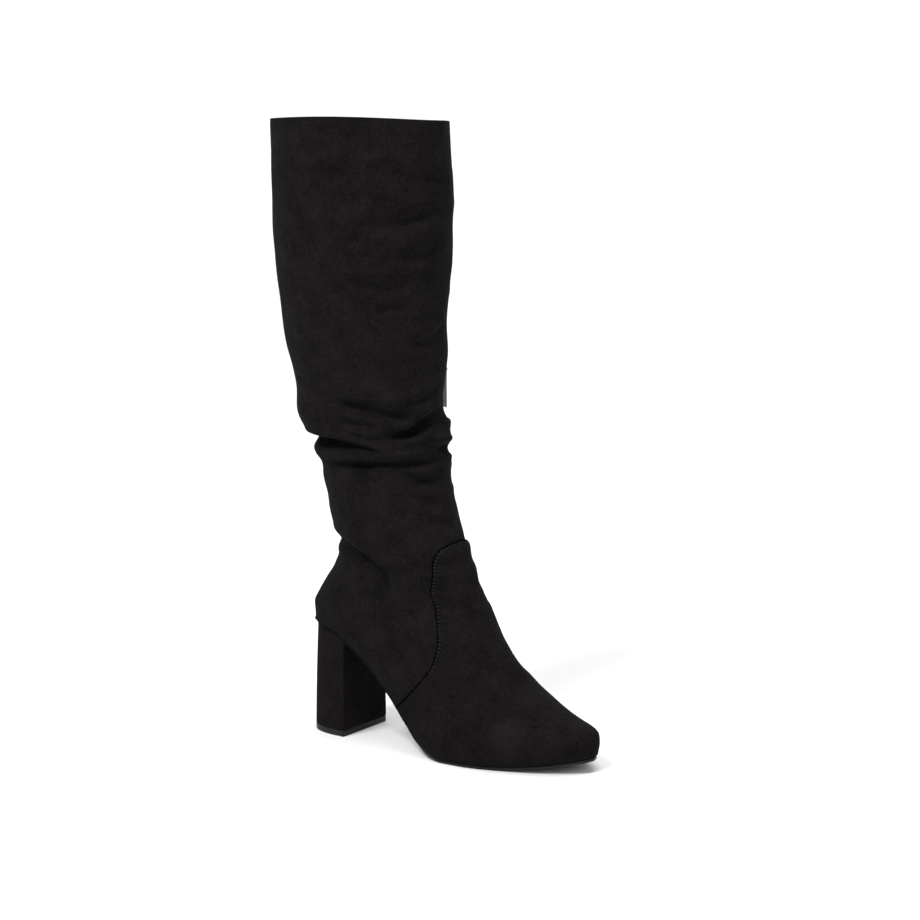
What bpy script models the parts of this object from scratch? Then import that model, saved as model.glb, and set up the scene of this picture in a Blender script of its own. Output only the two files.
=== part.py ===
"""A right-foot slouch boot, knee high, on a covered block heel.

Frame: +X to the toe, +Y to the medial side, +Z up. The origin is the middle of the
heel lift where it meets the floor. All lengths are in metres.
"""
import math

import bmesh
import bpy
import numpy as np
from mathutils import Matrix, Vector

# Main sizes of the last and the leg
FOOT_LENGTH = 0.2330       # back of the heel seat to the toe, seen from above
HEEL_HEIGHT = 0.0800       # floor to the heel seat, at its back
TOE_SPRING = 0.0085        # floor to the sole, at the toe
BALL_WIDTH = 0.0820        # sole at the ball of the foot
SEAT_WIDTH = 0.0510        # sole at the heel seat
SEAT_BACK = 0.0170         # back of the heel seat, behind the lift's middle
TOE_SHIFT = 0.0060         # toe tip, to the medial side of the heel's middle line
INSTEP_HEIGHT = 0.0750     # sole to the ridge of the instep, square to the shank
SHAFT_HEIGHT = 0.3620      # heel seat to collar
COLLAR_LENGTH = 0.1370     # collar, back to front
COLLAR_WIDTH = 0.1030      # collar, side to side
ANKLE_LENGTH = 0.1000      # narrowest part of the leg, back to front
ANKLE_WIDTH = 0.0760       # narrowest part of the leg, side to side

# Thicknesses
UPPER_WALL = 0.0018        # suede and lining together
VAMP_THICKNESS = 0.0010
VAMP_GAP = 0.0006          # glue under the vamp
UPPER_GAP = 0.0004         # glue between the upper and the sole
SOLE_THICKNESS = 0.0024
SOLE_EDGE = 0.0012         # the sole stands out from the upper this far at the forefoot
INSOLE_THICKNESS = 0.0020
GAP = 0.0003               # between pieces that are glued or sewn together

# Heel
LIFT_THICKNESS = 0.0045
LIFT_LENGTH = 0.0370
LIFT_WIDTH = 0.0510
HEEL_INSET = 0.0006        # heel cover inside the edge of the seat

# Zip on the medial side
ZIP_TOP = 0.2680           # top stop above the floor
ZIP_BOTTOM = 0.1160        # bottom stop above the floor
ZIP_AROUND_TOP = 0.636     # its place round the leg, counted as in the folds
ZIP_AROUND_BOTTOM = 0.680
ZIP_SLOT = 0.0072          # slit in the upper
CHAIN_THICKNESS = 0.0014
SLIDER_LENGTH = 0.0110
SLIDER_WIDTH = 0.0085
SLIDER_THICKNESS = 0.0028
BAIL_RADIUS = 0.0020
BAIL_HOLE = 0.0012
BAIL_WIDTH = 0.0016
PULL_LENGTH = 0.0280
PULL_WIDTH = 0.0052
PULL_THICKNESS = 0.0010
PULL_WINDOW = 0.0027

# Fineness of the solids
SIDE_COLUMNS = 12          # strips from the sole's edge to the ridge, on each side
HEEL_LEVELS = 5
ARC_POINTS = 9
SAME_POINT = 0.000003      # corners closer than this are one corner

# The last, from the heel seat to the toe: a row for each section.
# along: share of FOOT_LENGTH from the back. drop: sole's height, share of HEEL_HEIGHT.
# spring: share of TOE_SPRING. ball: 0 the widths are shares of SEAT_WIDTH, 1 of BALL_WIDTH.
# lateral, medial: half widths of the sole. shift: share of TOE_SHIFT.
# ahead: ridge point before the sole point, share of FOOT_LENGTH.
# rise: ridge point above the sole point, share of INSTEP_HEIGHT.
# swell: the upper's bulge over the sole's edge, share of the width. level: where it is
# widest, share of the section. low, high: roundness below and above that level.
LAST_COLUMNS = ("along", "drop", "spring", "ball", "lateral", "medial", "shift",
                "ahead", "rise", "swell", "level", "low", "high")
LAST = (
    (0.000, 1.000, 0.00, 0.0, 0.000, 0.000, 0.00, 0.578, 0.425, 0.650, 0.52, 3.1, 2.00),
    (0.006, 0.997, 0.00, 0.0, 0.170, 0.170, 0.00, 0.576, 0.400, 0.480, 0.52, 2.8, 2.00),
    (0.024, 0.992, 0.00, 0.0, 0.330, 0.330, 0.00, 0.564, 0.378, 0.322, 0.50, 2.5, 2.00),
    (0.062, 0.975, 0.00, 0.0, 0.440, 0.440, 0.00, 0.530, 0.368, 0.216, 0.48, 2.3, 2.00),
    (0.113, 0.940, 0.00, 0.0, 0.488, 0.488, 0.00, 0.487, 0.370, 0.170, 0.46, 2.2, 2.00),
    (0.181, 0.828, 0.00, 0.0, 0.500, 0.495, 0.00, 0.430, 0.405, 0.160, 0.45, 2.2, 2.00),
    (0.258, 0.655, 0.00, 0.1, 0.470, 0.440, 0.02, 0.371, 0.480, 0.170, 0.42, 2.2, 1.95),
    (0.326, 0.460, 0.00, 0.3, 0.430, 0.375, 0.05, 0.324, 0.590, 0.150, 0.38, 2.2, 1.90),
    (0.394, 0.252, 0.00, 0.6, 0.410, 0.355, 0.10, 0.281, 0.705, 0.105, 0.34, 2.2, 1.90),
    (0.454, 0.108, 0.00, 0.8, 0.435, 0.400, 0.16, 0.249, 0.748, 0.065, 0.30, 2.2, 1.90),
    (0.514, 0.026, 0.00, 1.0, 0.455, 0.445, 0.24, 0.220, 0.742, 0.040, 0.28, 2.2, 1.95),
    (0.560, 0.000, 0.00, 1.0, 0.478, 0.485, 0.32, 0.200, 0.692, 0.025, 0.26, 2.2, 1.95),
    (0.620, 0.000, 0.00, 1.0, 0.480, 0.505, 0.44, 0.178, 0.592, 0.020, 0.26, 2.2, 1.95),
    (0.680, 0.000, 0.00, 1.0, 0.460, 0.480, 0.57, 0.160, 0.500, 0.018, 0.28, 2.2, 1.95),
    (0.742, 0.000, 0.09, 1.0, 0.420, 0.435, 0.70, 0.140, 0.421, 0.017, 0.30, 2.2, 1.95),
    (0.804, 0.000, 0.22, 1.0, 0.365, 0.375, 0.82, 0.114, 0.367, 0.016, 0.32, 2.2, 1.92),
    (0.862, 0.000, 0.40, 1.0, 0.297, 0.305, 0.90, 0.084, 0.329, 0.014, 0.35, 2.1, 1.85),
    (0.909, 0.000, 0.60, 1.0, 0.226, 0.234, 0.95, 0.058, 0.290, 0.010, 0.38, 2.1, 1.80),
    (0.946, 0.000, 0.79, 1.0, 0.157, 0.164, 0.98, 0.034, 0.244, 0.006, 0.42, 2.0, 1.80),
    (0.974, 0.000, 0.93, 1.0, 0.086, 0.094, 1.00, 0.010, 0.174, 0.002, 0.46, 2.0, 1.80),
    (0.987, 0.000, 1.00, 1.0, 0.000, 0.000, 1.00, 0.000, 0.105, 0.000, 0.50, 2.2, 2.00),
)

# The leg, from the collar down to the counter: a row for each section.
# up: share of SHAFT_HEIGHT above the seat. centre: share of FOOT_LENGTH before the
# lift's middle. calf: 1 the sizes are shares of the collar's, 0 of the ankle's.
# length, width: of the section. tilt: its front above its back, share of its length.
LEG_COLUMNS = ("up", "centre", "calf", "length", "width", "tilt", "level", "low", "high")
LEG = (
    (1.000, 0.075, 1.0, 1.000, 0.998, -0.032, 0.50, 2.0, 2.0),
    (0.955, 0.078, 1.0, 1.008, 1.002, -0.022, 0.50, 2.0, 2.0),
    (0.900, 0.080, 1.0, 1.016, 1.010, -0.014, 0.50, 2.0, 2.0),
    (0.845, 0.082, 1.0, 1.018, 1.012, -0.010, 0.50, 2.0, 2.0),
    (0.785, 0.083, 1.0, 1.014, 1.010, -0.008, 0.50, 2.0, 2.0),
    (0.725, 0.083, 1.0, 0.992, 0.990, -0.008, 0.50, 2.0, 2.0),
    (0.665, 0.085, 1.0, 0.958, 0.955, -0.008, 0.50, 2.0, 2.0),
    (0.608, 0.089, 1.0, 0.930, 0.930, -0.008, 0.50, 2.0, 2.0),
    (0.560, 0.095, 1.0, 0.908, 0.912, -0.008, 0.50, 2.0, 2.0),
    (0.515, 0.102, 0.9, 0.889, 0.890, -0.008, 0.50, 2.0, 2.0),
    (0.474, 0.112, 0.8, 0.885, 0.886, -0.008, 0.50, 2.0, 2.0),
    (0.436, 0.124, 0.6, 0.920, 0.920, -0.008, 0.50, 2.0, 2.0),
    (0.400, 0.139, 0.4, 0.958, 0.962, -0.010, 0.50, 2.0, 2.0),
    (0.366, 0.153, 0.2, 0.992, 0.992, -0.012, 0.50, 2.0, 2.0),
    (0.334, 0.164, 0.0, 1.020, 1.020, -0.012, 0.50, 2.0, 2.0),
    (0.300, 0.174, 0.0, 1.000, 1.000, -0.008, 0.50, 2.0, 2.0),
    (0.268, 0.184, 0.0, 0.990, 0.990, 0.000, 0.50, 2.0, 2.0),
    (0.238, 0.195, 0.0, 0.994, 0.985, 0.015, 0.50, 2.0, 2.0),
    (0.208, 0.208, 0.0, 0.990, 0.975, 0.045, 0.50, 2.0, 2.0),
    (0.178, 0.222, 0.0, 0.990, 0.955, 0.070, 0.50, 2.0, 2.0),
    (0.150, 0.230, 0.0, 1.024, 0.940, 0.090, 0.50, 2.0, 2.0),
    (0.122, 0.226, 0.0, 1.085, 0.920, 0.110, 0.50, 2.0, 2.0),
    (0.094, 0.221, 0.0, 1.190, 0.900, 0.138, 0.51, 2.2, 2.0),
    (0.066, 0.212, 0.0, 1.262, 0.885, 0.174, 0.52, 2.5, 2.0),
    (0.038, 0.206, 0.0, 1.318, 0.875, 0.208, 0.52, 2.9, 2.0),
)

# The slouch: a row for each main fold.
# up: share of SHAFT_HEIGHT. around: 0 back, 0.25 lateral, 0.5 front, 0.75 medial.
# span: half its length, share of the way round. slope: climb along the fold.
# depth: inward, share of ANKLE_LENGTH, negative for a ridge. reach: half width.
FOLD_COLUMNS = ("up", "around", "span", "slope", "depth", "reach")
FOLDS = (
    (0.377, 0.13, 0.19, -0.06, 0.086, 0.014),
    (0.430, 0.12, 0.18, -0.06, -0.046, 0.034),
    (0.352, 0.14, 0.14, -0.02, -0.014, 0.012),
    (0.330, 0.22, 0.22, 0.06, 0.034, 0.013),
    (0.418, 0.45, 0.11, 0.28, 0.062, 0.014),
    (0.388, 0.40, 0.12, 0.10, -0.018, 0.018),
    (0.370, 0.54, 0.12, -0.12, 0.036, 0.014),
    (0.443, 0.61, 0.09, 0.02, 0.052, 0.014),
    (0.450, 0.34, 0.12, -0.10, 0.022, 0.016),
    (0.478, 0.38, 0.12, -0.04, -0.012, 0.018),
    (0.318, 0.46, 0.08, 0.00, 0.018, 0.014),
    (0.265, 0.05, 0.12, 0.06, 0.010, 0.020),
    (0.134, 0.26, 0.15, -0.52, 0.018, 0.016),
    (0.168, 0.00, 0.13, 0.02, 0.020, 0.018),
    (0.688, 0.36, 0.12, -0.16, 0.012, 0.022),
    (0.395, 0.88, 0.12, 0.10, 0.030, 0.016),
    (0.340, 0.88, 0.10, -0.12, 0.028, 0.016),
    (0.215, 0.64, 0.10, 0.30, 0.014, 0.018),
)

# Edge of the vamp: a row for each section that its seam passes, from the tongue down.
# section: counted in rows of LEG and then of LAST. lateral, medial: where the seam is,
# share of the way from the sole's edge up to the ridge.
SEAM_COLUMNS = ("section", "lateral", "medial")
SEAM = (
    (19.10, 1.000, 1.000),
    (19.25, 0.934, 0.934),
    (19.65, 0.862, 0.862),
    (20.60, 0.824, 0.824),
    (22.50, 0.812, 0.812),
    (25.00, 0.806, 0.800),
    (27.20, 0.779, 0.770),
    (29.00, 0.731, 0.719),
    (30.50, 0.653, 0.630),
    (31.36, 0.572, 0.540),
    (31.90, 0.482, 0.445),
    (32.20, 0.355, 0.355),
    (32.40, 0.185, 0.185),
    (32.50, 0.000, 0.000),
)


def column(columns, table, name):
    return np.array([row[columns.index(name)] for row in table], float)


def through(values, s):
    """A smooth curve through values at 0, 1, 2..., that never overshoots them."""
    v = np.asarray(values, float)
    d = np.diff(v)
    m = np.zeros_like(v)
    same = d[:-1] * d[1:] > 0
    m[1:-1][same] = 2 * d[:-1][same] * d[1:][same] / (d[:-1][same] + d[1:][same])
    m[0], m[-1] = d[0], d[-1]
    s = np.clip(np.asarray(s, float), 0, len(v) - 1)
    i = np.minimum(s.astype(int), len(v) - 2)
    t = s - i
    return ((1 + 2 * t) * (1 - t) ** 2 * v[i] + t * (1 - t) ** 2 * m[i]
            + t * t * (3 - 2 * t) * v[i + 1] + t * t * (t - 1) * m[i + 1])


def sole_rows():
    """The sole's sections in metres: x, z of its underside, its edges and its middle."""
    col = {name: column(LAST_COLUMNS, LAST, name) for name in LAST_COLUMNS}
    wide = SEAT_WIDTH * (1 - col["ball"]) + BALL_WIDTH * col["ball"]
    return {
        "x": col["along"] * FOOT_LENGTH - SEAT_BACK,
        "z": col["drop"] * HEEL_HEIGHT + col["spring"] * TOE_SPRING,
        "lateral": col["lateral"] * wide,
        "medial": col["medial"] * wide,
        "mid": col["shift"] * TOE_SHIFT,
        "ball": col["ball"],
    }


def sole_line(t, inset, lift):
    """Edges of a layer of the sole at rows t: inset from its outline, lifted off its underside."""
    rows = sole_rows()
    step = 0.02
    here = {name: through(rows[name], t) for name in rows}
    back = {name: through(rows[name], t - step) for name in rows}
    fore = {name: through(rows[name], t + step) for name in rows}
    dx = fore["x"] - back["x"]
    x = here["x"].copy()
    edges = {}
    for side in ("lateral", "medial"):
        dw = fore[side] - back[side]
        turn = np.hypot(dx, dw)
        edges[side] = np.maximum(here[side] - inset * dx / turn, 0)
        x += inset * dw / turn / 2
    all_rows = np.linspace(0, len(LAST) - 1, 10 * len(LAST))
    line_x, line_z = through(rows["x"], all_rows), through(rows["z"], all_rows)
    near = 0.01 * FOOT_LENGTH
    ahead = np.minimum(x + near, line_x[-1])
    behind = np.maximum(x - near, line_x[0])
    rise = np.interp(ahead, line_x, line_z) - np.interp(behind, line_x, line_z)
    slope = rise / (ahead - behind)
    turn = np.hypot(1, slope)
    z = np.interp(x, line_x, line_z) + lift / turn
    return x - lift * slope / turn, z, edges["lateral"], edges["medial"], here["mid"]


def section_rows():
    """Every section of the upper in metres, from the collar to the toe."""
    leg = {name: column(LEG_COLUMNS, LEG, name) for name in LEG_COLUMNS}
    length = leg["length"] * (COLLAR_LENGTH * leg["calf"] + ANKLE_LENGTH * (1 - leg["calf"]))
    width = leg["width"] * (COLLAR_WIDTH * leg["calf"] + ANKLE_WIDTH * (1 - leg["calf"]))
    middle = leg["centre"] * FOOT_LENGTH
    height = HEEL_HEIGHT + leg["up"] * SHAFT_HEIGHT
    rise = leg["tilt"] * length
    last = {name: column(LAST_COLUMNS, LAST, name) for name in LAST_COLUMNS}
    t = np.arange(len(LAST), dtype=float)
    x, z, lateral, medial, mid = sole_line(t, 0.0, SOLE_THICKNESS + UPPER_GAP)
    edge = SOLE_EDGE * np.clip(last["ball"], 0, 1)
    lateral = np.maximum(lateral - edge, 0)
    medial = np.maximum(medial - edge, 0)
    x = x - SOLE_EDGE * (t == t[-1])
    wide = SEAT_WIDTH * (1 - last["ball"]) + BALL_WIDTH * last["ball"]
    swell = last["swell"] * wide
    none = np.zeros(len(LEG))

    def both(a, b):
        return np.concatenate([a, b])

    return {
        "back_x": both(middle - length / 2, x),
        "back_z": both(height, z),
        "front_x": both(middle + length / 2, x + last["ahead"] * FOOT_LENGTH),
        "front_z": both(height + rise, z + last["rise"] * INSTEP_HEIGHT),
        "foot_lateral": both(none, lateral),
        "foot_medial": both(none, medial),
        "wide_lateral": both(width / 2, lateral + swell),
        "wide_medial": both(width / 2, medial + swell),
        "mid": both(none, mid),
        "level": both(leg["level"], last["level"]),
        "low": both(leg["low"], last["low"]),
        "high": both(leg["high"], last["high"]),
    }


LEG_END = len(LEG)
TOE_END = len(LEG) + len(LAST) - 1


def side_curve(foot, wide, level, low, high, span, share):
    """Half of a section: distance along it and out from its middle, at shares of its length."""
    turn = np.linspace(0, math.pi / 2, 33)
    under_p = level * (1 - np.cos(turn) ** (2 / low))
    under_q = foot + (wide - foot) * np.sin(turn) ** (2 / low)
    over_p = level + (1 - level) * np.sin(turn) ** (2 / high)
    over_q = wide * np.cos(turn) ** (2 / high)
    p = np.concatenate([under_p, over_p[1:]]) * span
    q = np.concatenate([under_q, over_q[1:]])
    run = np.concatenate([[0], np.cumsum(np.hypot(np.diff(p), np.diff(q)))])
    run = run / run[-1]
    return np.interp(share, run, p), np.interp(share, run, q)


def smooth_form(s, u):
    """Outer surface of the upper before its folds, for each pair of s and u."""
    rows = section_rows()
    at = {name: through(rows[name], s) for name in rows}
    points = np.zeros((len(s), 3))
    for k in range(len(s)):
        lateral = u[k] <= 0.5
        share = 2 * u[k] if lateral else 2 * (1 - u[k])
        side = "lateral" if lateral else "medial"
        bx, bz = at["back_x"][k], at["back_z"][k]
        fx, fz = at["front_x"][k], at["front_z"][k]
        span = math.hypot(fx - bx, fz - bz)
        p, q = side_curve(at["foot_" + side][k], at["wide_" + side][k], at["level"][k],
                          at["low"][k], at["high"][k], span, share)
        points[k] = (bx + (fx - bx) * p / span, at["mid"][k] + (-q if lateral else q),
                     bz + (fz - bz) * p / span)
    return points


def outward(s, u):
    """Unit normals of the smooth form."""
    ds, du = 0.04, 0.012
    down = smooth_form(np.minimum(s + ds, TOE_END - 0.01), u) - smooth_form(np.maximum(s - ds, 0), u)
    closed = s < LEG_END
    before = np.where(closed, (u - du) % 1.0, np.maximum(u - du, 0))
    after = np.where(closed, (u + du) % 1.0, np.minimum(u + du, 1))
    inner = np.minimum(s, TOE_END - 0.05)
    across = smooth_form(inner, after) - smooth_form(inner, before)
    normal = np.cross(down, across)
    normal /= np.maximum(np.linalg.norm(normal, axis=1), 1e-12)[:, None]
    return normal


def fold_depth(z, u):
    """How far the folds press the surface in at height z and share u of the way round."""
    up = (z - HEEL_HEIGHT) / SHAFT_HEIGHT
    depth = np.zeros_like(z)
    for row in FOLDS:
        fold = dict(zip(FOLD_COLUMNS, row))
        off = (u - fold["around"] + 0.5) % 1.0 - 0.5
        along = np.clip(off / fold["span"], -1, 1)
        across = (up - fold["up"] - fold["slope"] * off) / fold["reach"]
        depth += fold["depth"] * ANKLE_LENGTH * np.cos(along * math.pi / 2) ** 2 * np.exp(-across ** 2)
    return depth


def form(s, u, out=0.0):
    """Points of the upper's outer surface, moved out by a length, for each pair of s and u."""
    s = np.asarray(s, float)
    u = np.asarray(u, float)
    points = smooth_form(s, u)
    edge = (u < 1e-9) | (u > 1 - 1e-9)
    back_seam = edge & (s < LEG_END + 0.01)
    toe_tip = s > TOE_END - 0.01
    around = np.where(back_seam, 0.0, u)
    normal = outward(s, around)
    normal[back_seam | toe_tip, 1] = 0
    feather = edge & ~back_seam
    if feather.any():
        t = s[feather] - LEG_END
        rows = sole_rows()
        dx = through(rows["x"], t + 0.02) - through(rows["x"], t - 0.02)
        dz = through(rows["z"], t + 0.02) - through(rows["z"], t - 0.02)
        sole_normal = np.stack([-dz, 0 * dx, dx], -1) / np.hypot(dx, dz)[:, None]
        down = (normal[feather] * sole_normal).sum(-1)[:, None]
        normal[feather] -= sole_normal * down
    length = np.linalg.norm(normal, axis=1)
    reach = np.where(feather, np.minimum(1 / np.maximum(length, 0.5), 1.4), 1.0)
    normal *= (reach / np.maximum(length, 1e-12))[:, None]
    return points + normal * (out - fold_depth(points[:, 2], around))[:, None]


def grid(s, u, out=0.0):
    """Points on a grid: s is one value a row or a row's own values, u one value a column."""
    s = np.asarray(s, float)
    rows = np.repeat(s[:, None], len(u), axis=1) if s.ndim == 1 else s
    columns = np.repeat(np.asarray(u, float)[None], rows.shape[0], axis=0)
    return form(rows.ravel(), columns.ravel(), out).reshape(rows.shape + (3,))


def closed_tip(points):
    """The last row of a grid with its two sides on one line, where the toe closes."""
    points[-1] = (points[-1] + points[-1][::-1]) / 2
    return points


def section_at(height, u):
    """The section whose surface passes a height at share u of the way round."""
    low, high = 0.0, float(LEG_END)
    for _ in range(40):
        mid = (low + high) / 2
        if smooth_form(np.array([mid]), np.array([u]))[0, 2] > height:
            low = mid
        else:
            high = mid
    return (low + high) / 2


def girth(s):
    """Length round the leg at section s."""
    u = np.linspace(0, 1, 49)
    ring = smooth_form(np.full(49, s), u)
    return float(np.linalg.norm(np.diff(ring, axis=0), axis=1).sum())


# Building the objects
# Sections that every solid shares, so that facing surfaces have the same facets.
LEG_ROWS = [0, 1, 2, 3, 4, 5, 6, 7, 8, 8.5, 9, 9.5, 10, 10.5, 11, 11.5, 12, 12.5, 13, 13.5, 14,
            14.5, 15, 16, 17, 18, 19, 20, 21, 22, 23, 24]
FOOT_ROWS = [0, 0.5, 1, 2, 3, 4, 4.5, 5, 5.5, 6, 6.5, 7, 7.5, 8, 8.5, 9, 10, 11, 12, 13, 14, 15,
             16, 17, 18, 19, 20]
SEAM_ROWS = [0, 1, 2, 3, 3.5, 4, 4.5, 5, 6, 7, 8, 8.5, 9, 9.5, 10, 10.5, 11, 11.4, 11.8, 12.2, 12.5, 12.75, 13]
COLUMNS = np.linspace(0, 1, 2 * SIDE_COLUMNS + 1)


def clear_scene():
    for item in list(bpy.data.objects):
        bpy.data.objects.remove(item, do_unlink=True)


def new_collection(name):
    collection = bpy.data.collections.new(name)
    bpy.context.scene.collection.children.link(collection)
    return collection


def new_material(name, colour, roughness, metallic=0.0):
    material = bpy.data.materials.new(name)
    material.use_nodes = True
    shader = material.node_tree.nodes["Principled BSDF"]
    shader.inputs["Base Color"].default_value = (*colour, 1.0)
    shader.inputs["Roughness"].default_value = roughness
    shader.inputs["Metallic"].default_value = metallic
    return material


def add_object(name, mesh, collection, material):
    item = bpy.data.objects.new(name, mesh)
    collection.objects.link(item)
    if material:
        mesh.materials.append(material)
    return item


def hide_cutter(item):
    item.hide_render = True
    item.display_type = "WIRE"


def mesh_from(bm, name):
    bmesh.ops.remove_doubles(bm, verts=bm.verts, dist=SAME_POINT)
    mesh = bpy.data.meshes.new(name)
    bm.to_mesh(mesh)
    bm.free()
    return mesh


def skin(bm, points):
    """Corners of a grid of points, joined by cells that are cut alike on both sides of its middle."""
    verts = [[bm.verts.new(tuple(p)) for p in row] for row in points]
    columns = len(verts[0]) - 1
    for i in range(len(verts) - 1):
        for j in range(columns):
            a, b, c, d = verts[i][j], verts[i + 1][j], verts[i + 1][j + 1], verts[i][j + 1]
            if 2 * j < columns:
                bm.faces.new((a, b, c))
                bm.faces.new((a, c, d))
            else:
                bm.faces.new((a, b, d))
                bm.faces.new((b, c, d))
    return verts


def sheet(name, points):
    """An open surface through a grid of points, its front away from the leg."""
    bm = bmesh.new()
    skin(bm, points)
    return mesh_from(bm, name)


def shell(name, outer, inner):
    """A closed wall between two grids of points whose last rows meet at the toe."""
    bm = bmesh.new()
    over, under = skin(bm, outer), skin(bm, inner)
    rows, columns = len(outer) - 1, len(outer[0]) - 1
    for i in range(rows):
        for j in (0, columns):
            bm.faces.new((over[i][j], over[i + 1][j], under[i + 1][j], under[i][j]))
    bmesh.ops.remove_doubles(bm, verts=bm.verts, dist=SAME_POINT)
    bmesh.ops.recalc_face_normals(bm, faces=bm.faces)
    return mesh_from(bm, name)


def ladder(name, rungs):
    """A layer of the sole: each rung holds its lateral and medial points below and above."""
    bm = bmesh.new()
    rings = [[bm.verts.new(tuple(p)) for p in rung] for rung in rungs]
    for a, b in zip(rings, rings[1:]):
        for k in range(4):
            bm.faces.new((a[k], b[k], b[(k + 1) % 4], a[(k + 1) % 4]))
    bm.faces.new(rings[0])
    bm.faces.new(rings[-1][::-1])
    mesh = mesh_from(bm, name)
    bm = bmesh.new()
    bm.from_mesh(mesh)
    bmesh.ops.dissolve_degenerate(bm, edges=bm.edges, dist=0.00002)
    bmesh.ops.recalc_face_normals(bm, faces=bm.faces)
    bm.to_mesh(mesh)
    bm.free()
    return mesh


def sole_layer(name, rows, inset, low, high):
    """Rungs of a layer between two heights over the sole's underside."""
    rungs = []
    t = np.array(rows, float)
    xb, zb, lateral, medial, mid = sole_line(t, inset, low)
    xt, zt = sole_line(t, inset, high)[:2]
    for k in range(len(t)):
        rungs.append(((xb[k], mid[k] - lateral[k], zb[k]), (xb[k], mid[k] + medial[k], zb[k]),
                      (xt[k], mid[k] + medial[k], zt[k]), (xt[k], mid[k] - lateral[k], zt[k])))
    return ladder(name, rungs)


def solidify(item, thickness, offset):
    shell = item.modifiers.new("Wall", "SOLIDIFY")
    shell.thickness = thickness
    shell.offset = offset
    shell.use_even_offset = False
    shell.use_quality_normals = True


def boolean(item, other, operation):
    cut = item.modifiers.new(operation.title(), "BOOLEAN")
    cut.operation = operation
    cut.solver = "EXACT"
    cut.object = other


def heel_outline(x):
    """Half width of the D-shaped lift at x: square at the breast, round at the back."""
    share = (LIFT_LENGTH / 2 - x) / LIFT_LENGTH
    return LIFT_WIDTH / 2 * (1 - np.clip(share, 0, 1) ** 3.0) ** (1 / 2.4)


def heel_rings():
    """Rings of the heel from the lift up to the seat, each the breast's two corners and a round back."""
    turn = np.linspace(0, math.pi / 2, ARC_POINTS)
    share = np.sin(turn)
    seat_t = np.linspace(0, 6, 61)
    seat_x, seat_z, seat_lateral, seat_medial, seat_mid = sole_line(seat_t, HEEL_INSET, 0.0)
    under = sole_line(np.array(FOOT_ROWS[:12], float), 0.0, 0.0)
    front = LIFT_LENGTH / 2
    base = LIFT_THICKNESS + GAP
    rings = []
    for level in np.linspace(0, 1, HEEL_LEVELS + 1):
        flare = level ** 1.6
        back = -(LIFT_LENGTH / 2 * (1 - flare) - seat_x[0] * flare)
        low_x = front - LIFT_LENGTH * share
        top_x = front + (seat_x[0] - front) * share
        x = front + (back - front) * share
        low = heel_outline(low_x)
        lateral = low * (1 - flare) + np.interp(top_x, seat_x, seat_lateral) * flare
        medial = low * (1 - flare) + np.interp(top_x, seat_x, seat_medial) * flare
        z = base + (np.interp(x, under[0], under[1]) - GAP - base) * level
        ring = [(x[k], -lateral[k], z[k]) for k in range(ARC_POINTS)]
        ring += [(x[k], medial[k], z[k]) for k in range(ARC_POINTS - 2, -1, -1)]
        rings.append(ring)
    return rings


def heel_mesh(name):
    bm = bmesh.new()
    rings = [[bm.verts.new(p) for p in ring] for ring in heel_rings()]
    count = len(rings[0])
    for low, high in zip(rings, rings[1:]):
        for k in range(count):
            bm.faces.new((low[k], low[(k + 1) % count], high[(k + 1) % count], high[k]))
    bm.faces.new(rings[0])
    top = rings[-1]
    for k in range(ARC_POINTS - 2):
        bm.faces.new((top[k], top[k + 1], top[count - 2 - k], top[count - 1 - k]))
    bm.faces.new((top[ARC_POINTS - 2], top[ARC_POINTS - 1], top[ARC_POINTS]))
    bmesh.ops.recalc_face_normals(bm, faces=bm.faces)
    return mesh_from(bm, name)


def lift_mesh(name):
    turn = np.linspace(0, math.pi / 2, ARC_POINTS)
    x = LIFT_LENGTH / 2 - LIFT_LENGTH * np.sin(turn)
    half = heel_outline(x)
    ring = [(x[k], -half[k], 0.0) for k in range(ARC_POINTS)]
    ring += [(x[k], half[k], 0.0) for k in range(ARC_POINTS - 2, -1, -1)]
    bm = bmesh.new()
    face = bm.faces.new([bm.verts.new(p) for p in ring])
    raised = bmesh.ops.extrude_face_region(bm, geom=[face])["geom"]
    verts = [v for v in raised if isinstance(v, bmesh.types.BMVert)]
    bmesh.ops.translate(bm, verts=verts, vec=(0, 0, LIFT_THICKNESS))
    bmesh.ops.recalc_face_normals(bm, faces=bm.faces)
    return mesh_from(bm, name)


def vamp_points(out):
    """A grid from the vamp's seam to the toe, each row from one side of the seam to the other."""
    t = np.array(SEAM_ROWS)
    rows = list(zip(*(through(column(SEAM_COLUMNS, SEAM, name), t) for name in SEAM_COLUMNS)))
    rows += [(LEG_END + t, 0.0, 0.0) for t in FOOT_ROWS if LEG_END + t > SEAM[-1][0]]
    share = np.linspace(0, 1, SIDE_COLUMNS + 1)
    u = [np.concatenate([(lateral + (1 - lateral) * share) / 2,
                         1 - (medial + (1 - medial) * share[-2::-1]) / 2]) for _, lateral, medial in rows]
    s = [np.full(len(COLUMNS), section) for section, _, _ in rows]
    return closed_tip(form(np.concatenate(s), np.concatenate(u), out).reshape(len(rows), -1, 3))


def zip_strip(top, bottom, width, out):
    """Points on a strip of the surface along the zip, between two heights."""
    heights = np.linspace(top, bottom, 15)
    u = ZIP_AROUND_TOP + (ZIP_AROUND_BOTTOM - ZIP_AROUND_TOP) * (ZIP_TOP - heights) / (ZIP_TOP - ZIP_BOTTOM)
    rows = []
    for height, around in zip(heights, u):
        s = section_at(height, around)
        half = width / 2 / girth(s)
        rows.append(form([s, s], [around - half, around + half], out))
    return np.array(rows)


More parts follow.
